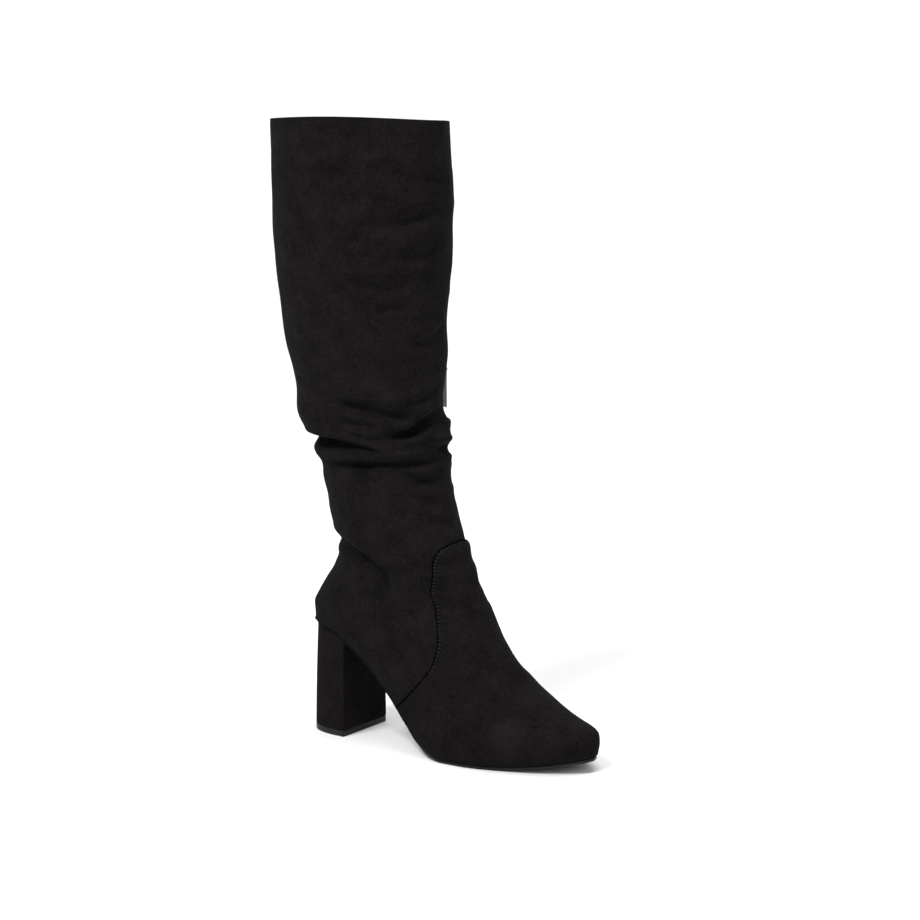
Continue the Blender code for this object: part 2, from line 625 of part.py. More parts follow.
def slider_frame():
    """Where the slider sits on the surface: its place and its directions along, out and up."""
    height = ZIP_TOP - SLIDER_LENGTH / 2
    share = (ZIP_TOP - height) / (ZIP_TOP - ZIP_BOTTOM)
    around = ZIP_AROUND_TOP + (ZIP_AROUND_BOTTOM - ZIP_AROUND_TOP) * share
    s = section_at(height, around)
    place = form([s], [around])[0]
    out = outward(np.array([s]), np.array([around]))[0]
    along = np.cross(out, (0, 0, 1))
    along /= np.linalg.norm(along)
    up = np.cross(along, out)
    return place, along, out, up


def placed(item, place, along, out, up):
    turn = Matrix((along, out, up)).transposed().to_4x4()
    item.matrix_world = Matrix.Translation(Vector(place)) @ turn


def box(name, size, centre, collection, material):
    bpy.ops.mesh.primitive_cube_add(size=1.0)
    item = bpy.context.active_object
    item.name = name
    item.data.name = name
    item.data.transform(Matrix.Translation(centre) @ Matrix.Diagonal((*size, 1.0)))
    for old in list(item.users_collection):
        old.objects.unlink(item)
    collection.objects.link(item)
    if material:
        item.data.materials.append(material)
    return item


def pin(name, radius, depth, centre, collection):
    """A cylinder along X."""
    bpy.ops.mesh.primitive_cylinder_add(vertices=20, radius=radius, depth=depth)
    item = bpy.context.active_object
    item.name = name
    item.data.transform(Matrix.Translation(centre) @ Matrix.Rotation(math.pi / 2, 4, "Y"))
    for old in list(item.users_collection):
        old.objects.unlink(item)
    collection.objects.link(item)
    hide_cutter(item)
    return item


def build():
    clear_scene()
    boot = new_collection("Slouch boot")
    cutters = new_collection("Cutters")
    suede = new_material("Black suede", (0.016, 0.014, 0.014), 0.92)
    cover = new_material("Heel cover", (0.018, 0.016, 0.015), 0.90)
    rubber = new_material("Sole rubber", (0.040, 0.038, 0.038), 0.55)
    lining = new_material("Lining", (0.060, 0.055, 0.062), 0.60)
    tape = new_material("Zip tape", (0.015, 0.015, 0.016), 0.75)
    metal = new_material("Dark nickel", (0.180, 0.180, 0.185), 0.35, 1.0)

    add_object("outsole", sole_layer("outsole", FOOT_ROWS, 0.0, 0.0, SOLE_THICKNESS), boot, rubber)
    add_object("heel_block", heel_mesh("heel_block"), boot, cover)
    add_object("heel_lift", lift_mesh("heel_lift"), boot, rubber)
    bed = SOLE_THICKNESS + GAP
    inset = UPPER_WALL + SOLE_EDGE + 3 * GAP
    add_object("insole", sole_layer("insole", FOOT_ROWS, inset, bed, bed + INSOLE_THICKNESS), boot, lining)

    rows = LEG_ROWS + [LEG_END + t for t in FOOT_ROWS]
    upper = add_object("upper", sheet("upper", closed_tip(grid(rows, COLUMNS))), boot, suede)
    solidify(upper, UPPER_WALL, -1)
    slit = add_object("zip_slit", sheet("zip_slit", zip_strip(ZIP_TOP + GAP, ZIP_BOTTOM - GAP, ZIP_SLOT, 0.0)),
                      cutters, None)
    solidify(slit, 6 * UPPER_WALL, 0)
    hide_cutter(slit)
    boolean(upper, slit, "DIFFERENCE")

    vamp = shell("vamp", vamp_points(VAMP_GAP + VAMP_THICKNESS), vamp_points(VAMP_GAP))
    add_object("vamp", vamp, boot, suede)

    sunk = -(UPPER_WALL - CHAIN_THICKNESS) / 2
    chain = add_object("zip_chain", sheet("zip_chain", zip_strip(ZIP_TOP, ZIP_BOTTOM, ZIP_SLOT - 2 * GAP, sunk)),
                       boot, tape)
    solidify(chain, CHAIN_THICKNESS, -1)

    place, along, out, up = slider_frame()
    seat = 2 * GAP
    slider = box("zip_slider", (SLIDER_WIDTH, SLIDER_THICKNESS, SLIDER_LENGTH),
                 (0, seat + SLIDER_THICKNESS / 2, 0), boot, metal)
    bail_out = seat + SLIDER_THICKNESS + 0.8 * BAIL_RADIUS
    bail_up = SLIDER_LENGTH / 6
    bail = pin("zip_bail", BAIL_RADIUS, BAIL_WIDTH, (0, bail_out, bail_up), cutters)
    hole = pin("zip_bail_hole", BAIL_HOLE, 2 * BAIL_WIDTH, (0, bail_out, bail_up), cutters)
    for item in (slider, bail, hole):
        placed(item, place, along, out, up)
    boolean(slider, bail, "UNION")
    boolean(slider, hole, "DIFFERENCE")

    axis = np.array(place) + out * bail_out + up * bail_up
    level_out = np.array((out[0], out[1], 0.0)) / math.hypot(out[0], out[1])
    bar = PULL_THICKNESS
    pull = box("zip_pull", (PULL_WIDTH, PULL_THICKNESS, PULL_LENGTH),
               (0, 0, bar / 2 - PULL_LENGTH / 2), boot, metal)
    window_length = BAIL_RADIUS + 2 * PULL_THICKNESS
    window = box("zip_pull_window", (PULL_WINDOW, 3 * PULL_THICKNESS, window_length),
                 (0, 0, -bar / 2 - window_length / 2), cutters, None)
    hide_cutter(window)
    for item in (pull, window):
        placed(item, axis, along, level_out, (0, 0, 1))
    boolean(pull, window, "DIFFERENCE")

    for item in boot.objects:
        item.data.shade_smooth()
        item.data.set_sharp_from_angle(angle=math.radians(35))


build()
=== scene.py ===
"""Looks of the slouch boot: folded suede leg, vamp, seams, zip, heel and sole, in metres."""
import math

import bpy
import numpy as np
from mathutils import Matrix, Vector
from mathutils.bvhtree import BVHTree


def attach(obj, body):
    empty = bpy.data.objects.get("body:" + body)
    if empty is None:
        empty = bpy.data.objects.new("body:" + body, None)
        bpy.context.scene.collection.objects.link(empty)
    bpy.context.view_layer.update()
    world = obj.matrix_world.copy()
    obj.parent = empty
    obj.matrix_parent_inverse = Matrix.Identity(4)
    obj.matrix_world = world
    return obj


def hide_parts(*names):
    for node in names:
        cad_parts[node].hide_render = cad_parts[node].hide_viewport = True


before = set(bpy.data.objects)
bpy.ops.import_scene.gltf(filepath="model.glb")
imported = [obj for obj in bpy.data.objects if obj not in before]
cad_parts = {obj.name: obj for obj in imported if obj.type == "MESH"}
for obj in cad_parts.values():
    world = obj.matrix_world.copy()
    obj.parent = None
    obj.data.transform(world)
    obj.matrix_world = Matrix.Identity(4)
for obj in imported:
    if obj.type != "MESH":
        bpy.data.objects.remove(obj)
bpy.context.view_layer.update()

# Sizes, as in the part's source. The vamp's are this model's own: it is rounded off at its edge.
FOOT_LENGTH = 0.2330
HEEL_HEIGHT = 0.0800
TOE_SPRING = 0.0085
BALL_WIDTH = 0.0820
SEAT_WIDTH = 0.0510
SEAT_BACK = 0.0170
TOE_SHIFT = 0.0060
INSTEP_HEIGHT = 0.0750
SHAFT_HEIGHT = 0.3620
COLLAR_LENGTH = 0.1370
COLLAR_WIDTH = 0.1030
ANKLE_LENGTH = 0.1000
ANKLE_WIDTH = 0.0760
UPPER_WALL = 0.0018
VAMP_LIFT = 0.0003
VAMP_THICKNESS = 0.0012
UPPER_GAP = 0.0004
SOLE_THICKNESS = 0.0024
SOLE_EDGE = 0.0012
GAP = 0.0003
LIFT_THICKNESS = 0.0045
LIFT_LENGTH = 0.0370
LIFT_WIDTH = 0.0510
HEEL_INSET = 0.0006
ZIP_TOP = 0.2680
ZIP_BOTTOM = 0.1160
ZIP_AROUND_TOP = 0.636
ZIP_AROUND_BOTTOM = 0.680
SLIDER_LENGTH = 0.0110
SLIDER_WIDTH = 0.0085
SLIDER_THICKNESS = 0.0028
BAIL_RADIUS = 0.0020
PULL_LENGTH = 0.0280
PULL_WIDTH = 0.0052
PULL_THICKNESS = 0.0010
PULL_WINDOW = 0.0027

# Fineness of the upper's and the vamp's grids
COLUMNS = 150
ZIP_FIRST, ZIP_LAST = 92, 114   # columns of the upper that lie beside the zip
ZIP_HALF = 0.0075               # from the zip's middle to the outer one of them
# Section, and step to the next row there
ROW_STEPS = ((0.0, 0.0366), (0.25, 0.0549), (8.0, 0.0671), (9.0, 0.0793), (15.5, 0.0793),
             (17.0, 0.1342), (24.0, 0.1342), (28.0, 0.1952), (44.0, 0.3172), (45.0, 0.1830))
VAMP_COLUMNS = 130

# Suede
PATCH_SHARE = 0.36         # of the suede's mottling, in clouds rather than in grain
TOE_HIGHLIGHT = (0.163, -0.031, 0.024)   # painted highlight: the suede's colour is made lighter round this point beside the toe
HIGHLIGHT_INSIDE, HIGHLIGHT_OUTSIDE = 0.004, 0.022
HIGHLIGHT_AMOUNT = 0.13

# Cloth
CREASE_GAIN = 1.8          # on the depths of the creases
CREASE_WIDTH = 0.75        # on their half widths
ANKLE_ROUND, CALF_ROUND = 295, 370   # lengths round the leg, in millimetres
COUNTER_PULL = 0.0012      # the counter runs down into the heel cover
DARK_EDGE_TO = 0.088       # the sole's edge is covered behind this
RIM_DROP = 0.0045          # the far side of the collar hangs lower
RIM_LIFT = 0.0040          # and its near side stands higher
RIM_TILT = 0.0056          # and its front too
RIM_BACK = 0.0016          # and all of it is this much lower
RIM_FAR, RIM_NEAR = 0.77, 0.29   # shares round of those two sides
LIP_RISE = 0.0007          # roundness of the collar's turned edge

# Seams
EDGE_ROUND = 0.0016        # rounding of the vamp's edge
SEWN_PITCH = 0.0026        # whip stitches of the vamp
SEWN_IN = 0.0032           # they reach this far over the vamp
SEWN_ABOVE = 0.062         # and end at the instep
COLLAR_ROW = 0.245         # section that the collar's stitches run along
COLLAR_STITCHES = 132
ZIP_SEWN = 0.0058          # stitches beside the zip, from its middle
THREAD_LIFT = 0.0001

# Teeth, as points along and radii across, and the slider's width along its length
TOOTH_PITCH = 0.00135
FIRST_TOOTH = 0.003
TEETH_OUT = -0.0007
TOOTH = ((-0.0006, 0.00030), (-0.0002, 0.00052), (0.0006, 0.00042), (0.00155, 0.00046),
         (0.0020, 0.00030))
SLIDER_LEVELS = ((-0.5, 0.62), (-0.42, 0.72), (-0.15, 0.80), (0.12, 0.96), (0.38, 1.0), (0.5, 0.80))

# Camera
CAMERA_PLACE = (1.139, -1.458, 0.535)
CAMERA_YAW = 125.384
CAMERA_PITCH = -10.348
CAMERA_LENS = 102.13

# Lights: name, place, size and power
LIGHTS = (
    ("key", (-0.15, -1.55, 2.3), 0.8, 66),
    ("fill", (1.9, -0.9, 1.4), 1.0, 10),
    ("top", (0.3, 0.3, 2.4), 1.1, 34),
)
LIGHTS_AIM = (0.06, 0.0, 0.2)
WORLD_STRENGTH = 0.44

# Sections of the foot, as in the part's source. Only the last two rises are lower, to round the tip.

LAST_COLUMNS = ("along", "drop", "spring", "ball", "lateral", "medial", "shift",
                "ahead", "rise", "swell", "level", "low", "high")
LAST = (
    (0.000, 1.000, 0.00, 0.0, 0.000, 0.000, 0.00, 0.578, 0.425, 0.650, 0.52, 3.1, 2.00),
    (0.006, 0.997, 0.00, 0.0, 0.170, 0.170, 0.00, 0.576, 0.400, 0.480, 0.52, 2.8, 2.00),
    (0.024, 0.992, 0.00, 0.0, 0.330, 0.330, 0.00, 0.564, 0.378, 0.322, 0.50, 2.5, 2.00),
    (0.062, 0.975, 0.00, 0.0, 0.440, 0.440, 0.00, 0.530, 0.368, 0.216, 0.48, 2.3, 2.00),
    (0.113, 0.940, 0.00, 0.0, 0.488, 0.488, 0.00, 0.487, 0.370, 0.170, 0.46, 2.2, 2.00),
    (0.181, 0.828, 0.00, 0.0, 0.500, 0.495, 0.00, 0.430, 0.405, 0.160, 0.45, 2.2, 2.00),
    (0.258, 0.655, 0.00, 0.1, 0.470, 0.440, 0.02, 0.371, 0.480, 0.170, 0.42, 2.2, 1.95),
    (0.326, 0.460, 0.00, 0.3, 0.430, 0.375, 0.05, 0.324, 0.590, 0.150, 0.38, 2.2, 1.90),
    (0.394, 0.252, 0.00, 0.6, 0.410, 0.355, 0.10, 0.281, 0.705, 0.105, 0.34, 2.2, 1.90),
    (0.454, 0.108, 0.00, 0.8, 0.435, 0.400, 0.16, 0.249, 0.748, 0.065, 0.30, 2.2, 1.90),
    (0.514, 0.026, 0.00, 1.0, 0.455, 0.445, 0.24, 0.220, 0.742, 0.040, 0.28, 2.2, 1.95),
    (0.560, 0.000, 0.00, 1.0, 0.478, 0.485, 0.32, 0.200, 0.692, 0.025, 0.26, 2.2, 1.95),
    (0.620, 0.000, 0.00, 1.0, 0.480, 0.505, 0.44, 0.178, 0.592, 0.020, 0.26, 2.2, 1.95),
    (0.680, 0.000, 0.00, 1.0, 0.460, 0.480, 0.57, 0.160, 0.500, 0.018, 0.28, 2.2, 1.95),
    (0.742, 0.000, 0.09, 1.0, 0.420, 0.435, 0.70, 0.140, 0.421, 0.017, 0.30, 2.2, 1.95),
    (0.804, 0.000, 0.22, 1.0, 0.365, 0.375, 0.82, 0.114, 0.367, 0.016, 0.32, 2.2, 1.92),
    (0.862, 0.000, 0.40, 1.0, 0.297, 0.305, 0.90, 0.084, 0.329, 0.014, 0.35, 2.1, 1.85),
    (0.909, 0.000, 0.60, 1.0, 0.226, 0.234, 0.95, 0.058, 0.290, 0.010, 0.38, 2.1, 1.80),
    (0.946, 0.000, 0.79, 1.0, 0.157, 0.164, 0.98, 0.034, 0.244, 0.006, 0.42, 2.0, 1.80),
    (0.974, 0.000, 0.93, 1.0, 0.086, 0.094, 1.00, 0.010, 0.158, 0.002, 0.46, 2.0, 1.80),
    (0.987, 0.000, 1.00, 1.0, 0.000, 0.000, 1.00, 0.000, 0.062, 0.000, 0.50, 2.2, 2.00),
)
# Sections of the leg, as in the source
LEG_COLUMNS = ("up", "centre", "calf", "length", "width", "tilt", "level", "low", "high")
LEG = (
    (1.000, 0.075, 1.0, 1.000, 0.998, -0.032, 0.50, 2.0, 2.0),
    (0.955, 0.078, 1.0, 1.008, 1.002, -0.022, 0.50, 2.0, 2.0),
    (0.900, 0.080, 1.0, 1.016, 1.010, -0.014, 0.50, 2.0, 2.0),
    (0.845, 0.082, 1.0, 1.018, 1.012, -0.010, 0.50, 2.0, 2.0),
    (0.785, 0.083, 1.0, 1.014, 1.010, -0.008, 0.50, 2.0, 2.0),
    (0.725, 0.083, 1.0, 0.992, 0.990, -0.008, 0.50, 2.0, 2.0),
    (0.665, 0.085, 1.0, 0.958, 0.955, -0.008, 0.50, 2.0, 2.0),
    (0.608, 0.089, 1.0, 0.930, 0.930, -0.008, 0.50, 2.0, 2.0),
    (0.560, 0.095, 1.0, 0.908, 0.912, -0.008, 0.50, 2.0, 2.0),
    (0.515, 0.102, 0.9, 0.889, 0.890, -0.008, 0.50, 2.0, 2.0),
    (0.474, 0.112, 0.8, 0.885, 0.886, -0.008, 0.50, 2.0, 2.0),
    (0.436, 0.124, 0.6, 0.920, 0.920, -0.008, 0.50, 2.0, 2.0),
    (0.400, 0.139, 0.4, 0.958, 0.962, -0.010, 0.50, 2.0, 2.0),
    (0.366, 0.153, 0.2, 0.992, 0.992, -0.012, 0.50, 2.0, 2.0),
    (0.334, 0.164, 0.0, 1.020, 1.020, -0.012, 0.50, 2.0, 2.0),
    (0.300, 0.174, 0.0, 1.000, 1.000, -0.008, 0.50, 2.0, 2.0),
    (0.268, 0.184, 0.0, 0.990, 0.990, 0.000, 0.50, 2.0, 2.0),
    (0.238, 0.195, 0.0, 0.994, 0.985, 0.015, 0.50, 2.0, 2.0),
    (0.208, 0.208, 0.0, 0.990, 0.975, 0.045, 0.50, 2.0, 2.0),
    (0.178, 0.222, 0.0, 0.990, 0.955, 0.070, 0.50, 2.0, 2.0),
    (0.150, 0.230, 0.0, 1.024, 0.940, 0.090, 0.50, 2.0, 2.0),
    (0.122, 0.226, 0.0, 1.085, 0.920, 0.110, 0.50, 2.0, 2.0),
    (0.094, 0.221, 0.0, 1.190, 0.900, 0.138, 0.51, 2.2, 2.0),
    (0.066, 0.212, 0.0, 1.262, 0.885, 0.174, 0.52, 2.5, 2.0),
    (0.038, 0.206, 0.0, 1.318, 0.875, 0.208, 0.52, 2.9, 2.0),
)
# Main folds, as in the source. up: share of the shaft. around: 0 back, 0.25 lateral, 0.5 front.
FOLD_COLUMNS = ("up", "around", "span", "slope", "depth", "reach")
FOLDS = (
    (0.377, 0.13, 0.19, -0.06, 0.086, 0.014),
    (0.430, 0.12, 0.18, -0.06, -0.046, 0.034),
    (0.352, 0.14, 0.14, -0.02, -0.014, 0.012),
    (0.330, 0.22, 0.22, 0.06, 0.034, 0.013),
    (0.418, 0.45, 0.11, 0.28, 0.062, 0.014),
    (0.388, 0.40, 0.12, 0.10, -0.018, 0.018),
    (0.370, 0.54, 0.12, -0.12, 0.036, 0.014),
    (0.443, 0.61, 0.09, 0.02, 0.052, 0.014),
    (0.450, 0.34, 0.12, -0.10, 0.022, 0.016),
    (0.478, 0.38, 0.12, -0.04, -0.012, 0.018),
    (0.318, 0.46, 0.08, 0.00, 0.018, 0.014),
    (0.265, 0.05, 0.12, 0.06, 0.010, 0.020),
    (0.134, 0.26, 0.15, -0.52, 0.018, 0.016),
    (0.168, 0.00, 0.13, 0.02, 0.020, 0.018),
    (0.688, 0.36, 0.12, -0.16, 0.012, 0.022),
    (0.395, 0.88, 0.12, 0.10, 0.030, 0.016),
    (0.340, 0.88, 0.10, -0.12, 0.028, 0.016),
    (0.215, 0.64, 0.10, 0.30, 0.014, 0.018),
)
# The vamp's edge, as in the source: section, and share of the way up on each side
SEAM_COLUMNS = ("section", "lateral", "medial")
SEAM = (
    (19.10, 1.000, 1.000),
    (19.25, 0.934, 0.934),
    (19.65, 0.862, 0.862),
    (20.60, 0.824, 0.824),
    (22.50, 0.812, 0.812),
    (25.00, 0.806, 0.800),
    (27.20, 0.779, 0.770),
    (29.00, 0.731, 0.719),
    (30.50, 0.653, 0.630),
    (31.36, 0.572, 0.540),
    (31.90, 0.482, 0.445),
    (32.20, 0.355, 0.355),
    (32.40, 0.185, 0.185),
    (32.50, 0.000, 0.000),
)

# Fine creases, listed one by one: depth and half width in millimetres, then points (up, around).
# A negative depth is a raised ridge.
CREASES = (
    (0.5, 4.0, ((0.935, 0.300), (0.939, 0.372))),
    (1.3, 6.0, ((0.902, 0.130), (0.899, 0.240), (0.900, 0.345))),
    (0.4, 4.0, ((0.911, 0.362), (0.911, 0.398))),
    (1.2, 4.5, ((0.893, 0.452), (0.892, 0.510))),
    (1.9, 6.0, ((0.838, 0.500), (0.810, 0.404), (0.804, 0.320))),
    (1.2, 5.0, ((0.791, 0.338), (0.759, 0.312))),
    (1.2, 5.0, ((0.746, 0.304), (0.746, 0.370))),
    (1.8, 6.0, ((0.760, 0.500), (0.745, 0.400))),
    (1.9, 6.0, ((0.698, 0.300), (0.681, 0.414))),
    (1.4, 5.0, ((0.649, 0.365), (0.649, 0.430))),
    (0.7, 6.0, ((0.610, 0.160), (0.596, 0.260))),
    (0.8, 5.0, ((0.586, 0.130), (0.560, 0.200), (0.535, 0.275))),
    (1.0, 4.5, ((0.568, 0.425), (0.590, 0.480), (0.608, 0.540))),
    (0.8, 4.5, ((0.522, 0.140), (0.505, 0.210), (0.490, 0.285))),
    (1.2, 4.0, ((0.460, 0.415), (0.470, 0.460), (0.486, 0.510))),
    (0.8, 4.5, ((0.338, 0.350), (0.318, 0.420), (0.300, 0.490))),
    (0.6, 5.0, ((0.286, 0.400), (0.262, 0.480))),
    (0.8, 6.0, ((0.586, 0.420), (0.574, 0.500))),
    (0.7, 6.0, ((0.530, 0.240), (0.517, 0.330))),
    (0.9, 5.0, ((0.500, 0.120), (0.487, 0.230))),
    (1.7, 4.0, ((0.464, 0.250), (0.458, 0.300), (0.452, 0.350))),
    (1.5, 4.0, ((0.450, 0.330), (0.444, 0.380), (0.438, 0.430))),
    (-1.4, 5.0, ((0.468, 0.360), (0.466, 0.424))),
    (1.7, 3.6, ((0.427, 0.250), (0.420, 0.310), (0.414, 0.372))),
    (3.4, 3.6, ((0.379, 0.040), (0.380, 0.120), (0.381, 0.225), (0.375, 0.300), (0.364, 0.370))),
    (1.4, 4.0, ((0.398, 0.250), (0.394, 0.320), (0.398, 0.400))),
    (3.6, 3.6, ((0.446, 0.505), (0.427, 0.458), (0.411, 0.430), (0.406, 0.392), (0.403, 0.350))),
    (2.0, 3.6, ((0.379, 0.480), (0.374, 0.520), (0.366, 0.580))),
    (-1.2, 5.0, ((0.392, 0.470), (0.388, 0.540))),
    (2.8, 4.0, ((0.339, 0.120), (0.342, 0.230), (0.348, 0.330), (0.352, 0.430), (0.356, 0.520))),
    (-0.8, 5.0, ((0.360, 0.330), (0.363, 0.430))),
    (0.9, 3.6, ((0.318, 0.412), (0.316, 0.470))),
    (0.7, 4.0, ((0.305, 0.200), (0.300, 0.300))),
    (2.6, 6.0, ((0.184, 0.090), (0.160, 0.200), (0.128, 0.282), (0.085, 0.300), (0.030, 0.300))),
    (1.4, 5.0, ((0.150, 0.130), (0.128, 0.210), (0.098, 0.262))),
    (1.1, 4.5, ((0.178, -0.030), (0.181, 0.060), (0.178, 0.126))),
    (0.7, 5.0, ((0.235, 0.420), (0.222, 0.500), (0.232, 0.580))),
    (0.75, 11.0, ((0.476, 0.500), (0.466, 0.560), (0.464, 0.605), (0.470, 0.630))),
    (1.6, 4.5, ((0.436, 0.550), (0.428, 0.600), (0.431, 0.640))),
    (1.8, 4.5, ((0.405, 0.560), (0.392, 0.610), (0.396, 0.640))),
    (1.8, 4.5, ((0.440, 0.700), (0.425, 0.780), (0.400, 0.860), (0.392, 0.960))),
    (2.0, 4.5, ((0.382, 0.690), (0.366, 0.770), (0.362, 0.860))),
    (1.4, 4.5, ((0.338, 0.700), (0.345, 0.790), (0.339, 0.880), (0.342, 0.980))),
    (0.9, 5.0, ((0.312, 0.560), (0.304, 0.630))),
    (0.8, 5.0, ((0.268, 0.700), (0.255, 0.800))),
    (1.1, 6.0, ((0.190, 0.900), (0.160, 0.800), (0.120, 0.722))),
    (0.8, 6.0, ((0.868, 0.560), (0.855, 0.680))),
    (0.9, 6.5, ((0.770, 0.620), (0.756, 0.740))),
    (0.8, 6.0, ((0.700, 0.560), (0.684, 0.640))),
    (0.8, 6.5, ((0.640, 0.760), (0.655, 0.880))),
    (0.8, 6.0, ((0.560, 0.700), (0.575, 0.800))),
    (0.9, 6.0, ((0.505, 0.640), (0.515, 0.740))),
    (0.7, 6.0, ((0.840, 0.880), (0.850, 0.980))),
)


def column(columns, table, name):
    return np.array([row[columns.index(name)] for row in table], float)


def through(values, s):
    """A smooth curve through values at 0, 1, 2..., that never overshoots them."""
    v = np.asarray(values, float)
    d = np.diff(v)
    m = np.zeros_like(v)
    same = d[:-1] * d[1:] > 0
    m[1:-1][same] = 2 * d[:-1][same] * d[1:][same] / (d[:-1][same] + d[1:][same])
    m[0], m[-1] = d[0], d[-1]
    s = np.clip(np.asarray(s, float), 0, len(v) - 1)
    i = np.minimum(s.astype(int), len(v) - 2)
    t = s - i
    return ((1 + 2 * t) * (1 - t) ** 2 * v[i] + t * (1 - t) ** 2 * m[i]
            + t * t * (3 - 2 * t) * v[i + 1] + t * t * (t - 1) * m[i + 1])


def sole_rows():
    col = {name: column(LAST_COLUMNS, LAST, name) for name in LAST_COLUMNS}
    wide = SEAT_WIDTH * (1 - col["ball"]) + BALL_WIDTH * col["ball"]
    return {
        "x": col["along"] * FOOT_LENGTH - SEAT_BACK,
        "z": col["drop"] * HEEL_HEIGHT + col["spring"] * TOE_SPRING,
        "lateral": col["lateral"] * wide,
        "medial": col["medial"] * wide,
        "mid": col["shift"] * TOE_SHIFT,
    }


def sole_line(t, inset, lift):
    """Edges of a layer of the sole at rows t: inset from its outline, lifted off its underside."""
    rows = sole_rows()
    step = 0.02
    here = {name: through(rows[name], t) for name in rows}
    back = {name: through(rows[name], t - step) for name in rows}
    fore = {name: through(rows[name], t + step) for name in rows}
    dx = fore["x"] - back["x"]
    x = here["x"].copy()
    edges = {}
    for side in ("lateral", "medial"):
        dw = fore[side] - back[side]
        turn = np.hypot(dx, dw)
        edges[side] = np.maximum(here[side] - inset * dx / turn, 0)
        x += inset * dw / turn / 2
    all_rows = np.linspace(0, len(LAST) - 1, 10 * len(LAST))
    line_x, line_z = through(rows["x"], all_rows), through(rows["z"], all_rows)
    near = 0.01 * FOOT_LENGTH
    ahead = np.minimum(x + near, line_x[-1])
    behind = np.maximum(x - near, line_x[0])
    rise = np.interp(ahead, line_x, line_z) - np.interp(behind, line_x, line_z)
    slope = rise / (ahead - behind)
    turn = np.hypot(1, slope)
    z = np.interp(x, line_x, line_z) + lift / turn
    return x - lift * slope / turn, z, edges["lateral"], edges["medial"], here["mid"]


def section_rows():
    """Every section of the upper, from the collar to the toe."""
    leg = {name: column(LEG_COLUMNS, LEG, name) for name in LEG_COLUMNS}
    length = leg["length"] * (COLLAR_LENGTH * leg["calf"] + ANKLE_LENGTH * (1 - leg["calf"]))
    width = leg["width"] * (COLLAR_WIDTH * leg["calf"] + ANKLE_WIDTH * (1 - leg["calf"]))
    middle = leg["centre"] * FOOT_LENGTH
    height = HEEL_HEIGHT + leg["up"] * SHAFT_HEIGHT
    rise = leg["tilt"] * length
    last = {name: column(LAST_COLUMNS, LAST, name) for name in LAST_COLUMNS}
    t = np.arange(len(LAST), dtype=float)
    x, z, lateral, medial, mid = sole_line(t, 0.0, SOLE_THICKNESS + UPPER_GAP)
    edge = SOLE_EDGE * np.clip(last["ball"], 0, 1)
    lateral = np.maximum(lateral - edge, 0)
    medial = np.maximum(medial - edge, 0)
    x = x - SOLE_EDGE * (t == t[-1])
    wide = SEAT_WIDTH * (1 - last["ball"]) + BALL_WIDTH * last["ball"]
    swell = last["swell"] * wide
    none = np.zeros(len(LEG))
    pairs = {
        "back_x": (middle - length / 2, x),
        "back_z": (height, z),
        "front_x": (middle + length / 2, x + last["ahead"] * FOOT_LENGTH),
        "front_z": (height + rise, z + last["rise"] * INSTEP_HEIGHT),
        "foot_lateral": (none, lateral),
        "foot_medial": (none, medial),
        "wide_lateral": (width / 2, lateral + swell),
        "wide_medial": (width / 2, medial + swell),
        "mid": (none, mid),
        "level": (leg["level"], last["level"]),
        "low": (leg["low"], last["low"]),
        "high": (leg["high"], last["high"]),
    }
    return {name: np.concatenate(pair) for name, pair in pairs.items()}


LEG_END = len(LEG)
TOE_END = len(LEG) + len(LAST) - 1
SECTIONS = section_rows()


def side_curve(foot, wide, level, low, high, span, share):
    turn = np.linspace(0, math.pi / 2, 49)
    under_p = level * (1 - np.cos(turn) ** (2 / low))
    under_q = foot + (wide - foot) * np.sin(turn) ** (2 / low)
    over_p = level + (1 - level) * np.sin(turn) ** (2 / high)
    over_q = wide * np.cos(turn) ** (2 / high)
    p = np.concatenate([under_p, over_p[1:]]) * span
    q = np.concatenate([under_q, over_q[1:]])
    run = np.concatenate([[0], np.cumsum(np.hypot(np.diff(p), np.diff(q)))])
    run = run / run[-1]
    return np.interp(share, run, p), np.interp(share, run, q)


def smooth_form(s, u):
    """Points of the smooth form: s a value for each row, u a row of shares round for each."""
    at = {name: through(values, s) for name, values in SECTIONS.items()}
    points = np.zeros(u.shape + (3,))
    for k in range(len(s)):
        bx, bz = at["back_x"][k], at["back_z"][k]
        fx, fz = at["front_x"][k], at["front_z"][k]
        span = math.hypot(fx - bx, fz - bz)
        for side, sign, here in (("lateral", -1, u[k] <= 0.5), ("medial", 1, u[k] > 0.5)):
            share = 2 * u[k][here] if sign < 0 else 2 * (1 - u[k][here])
            p, q = side_curve(at["foot_" + side][k], at["wide_" + side][k], at["level"][k],
                              at["low"][k], at["high"][k], span, share)
            points[k, here] = np.stack([bx + (fx - bx) * p / span, at["mid"][k] + sign * q,
                                        bz + (fz - bz) * p / span], -1)
    return points


def at_seam(s, u):
    """Where the leg's grid meets itself, at the back."""
    return ((u < 1e-9) | (u > 1 - 1e-9)) & (s < LEG_END + 0.01)[:, None]


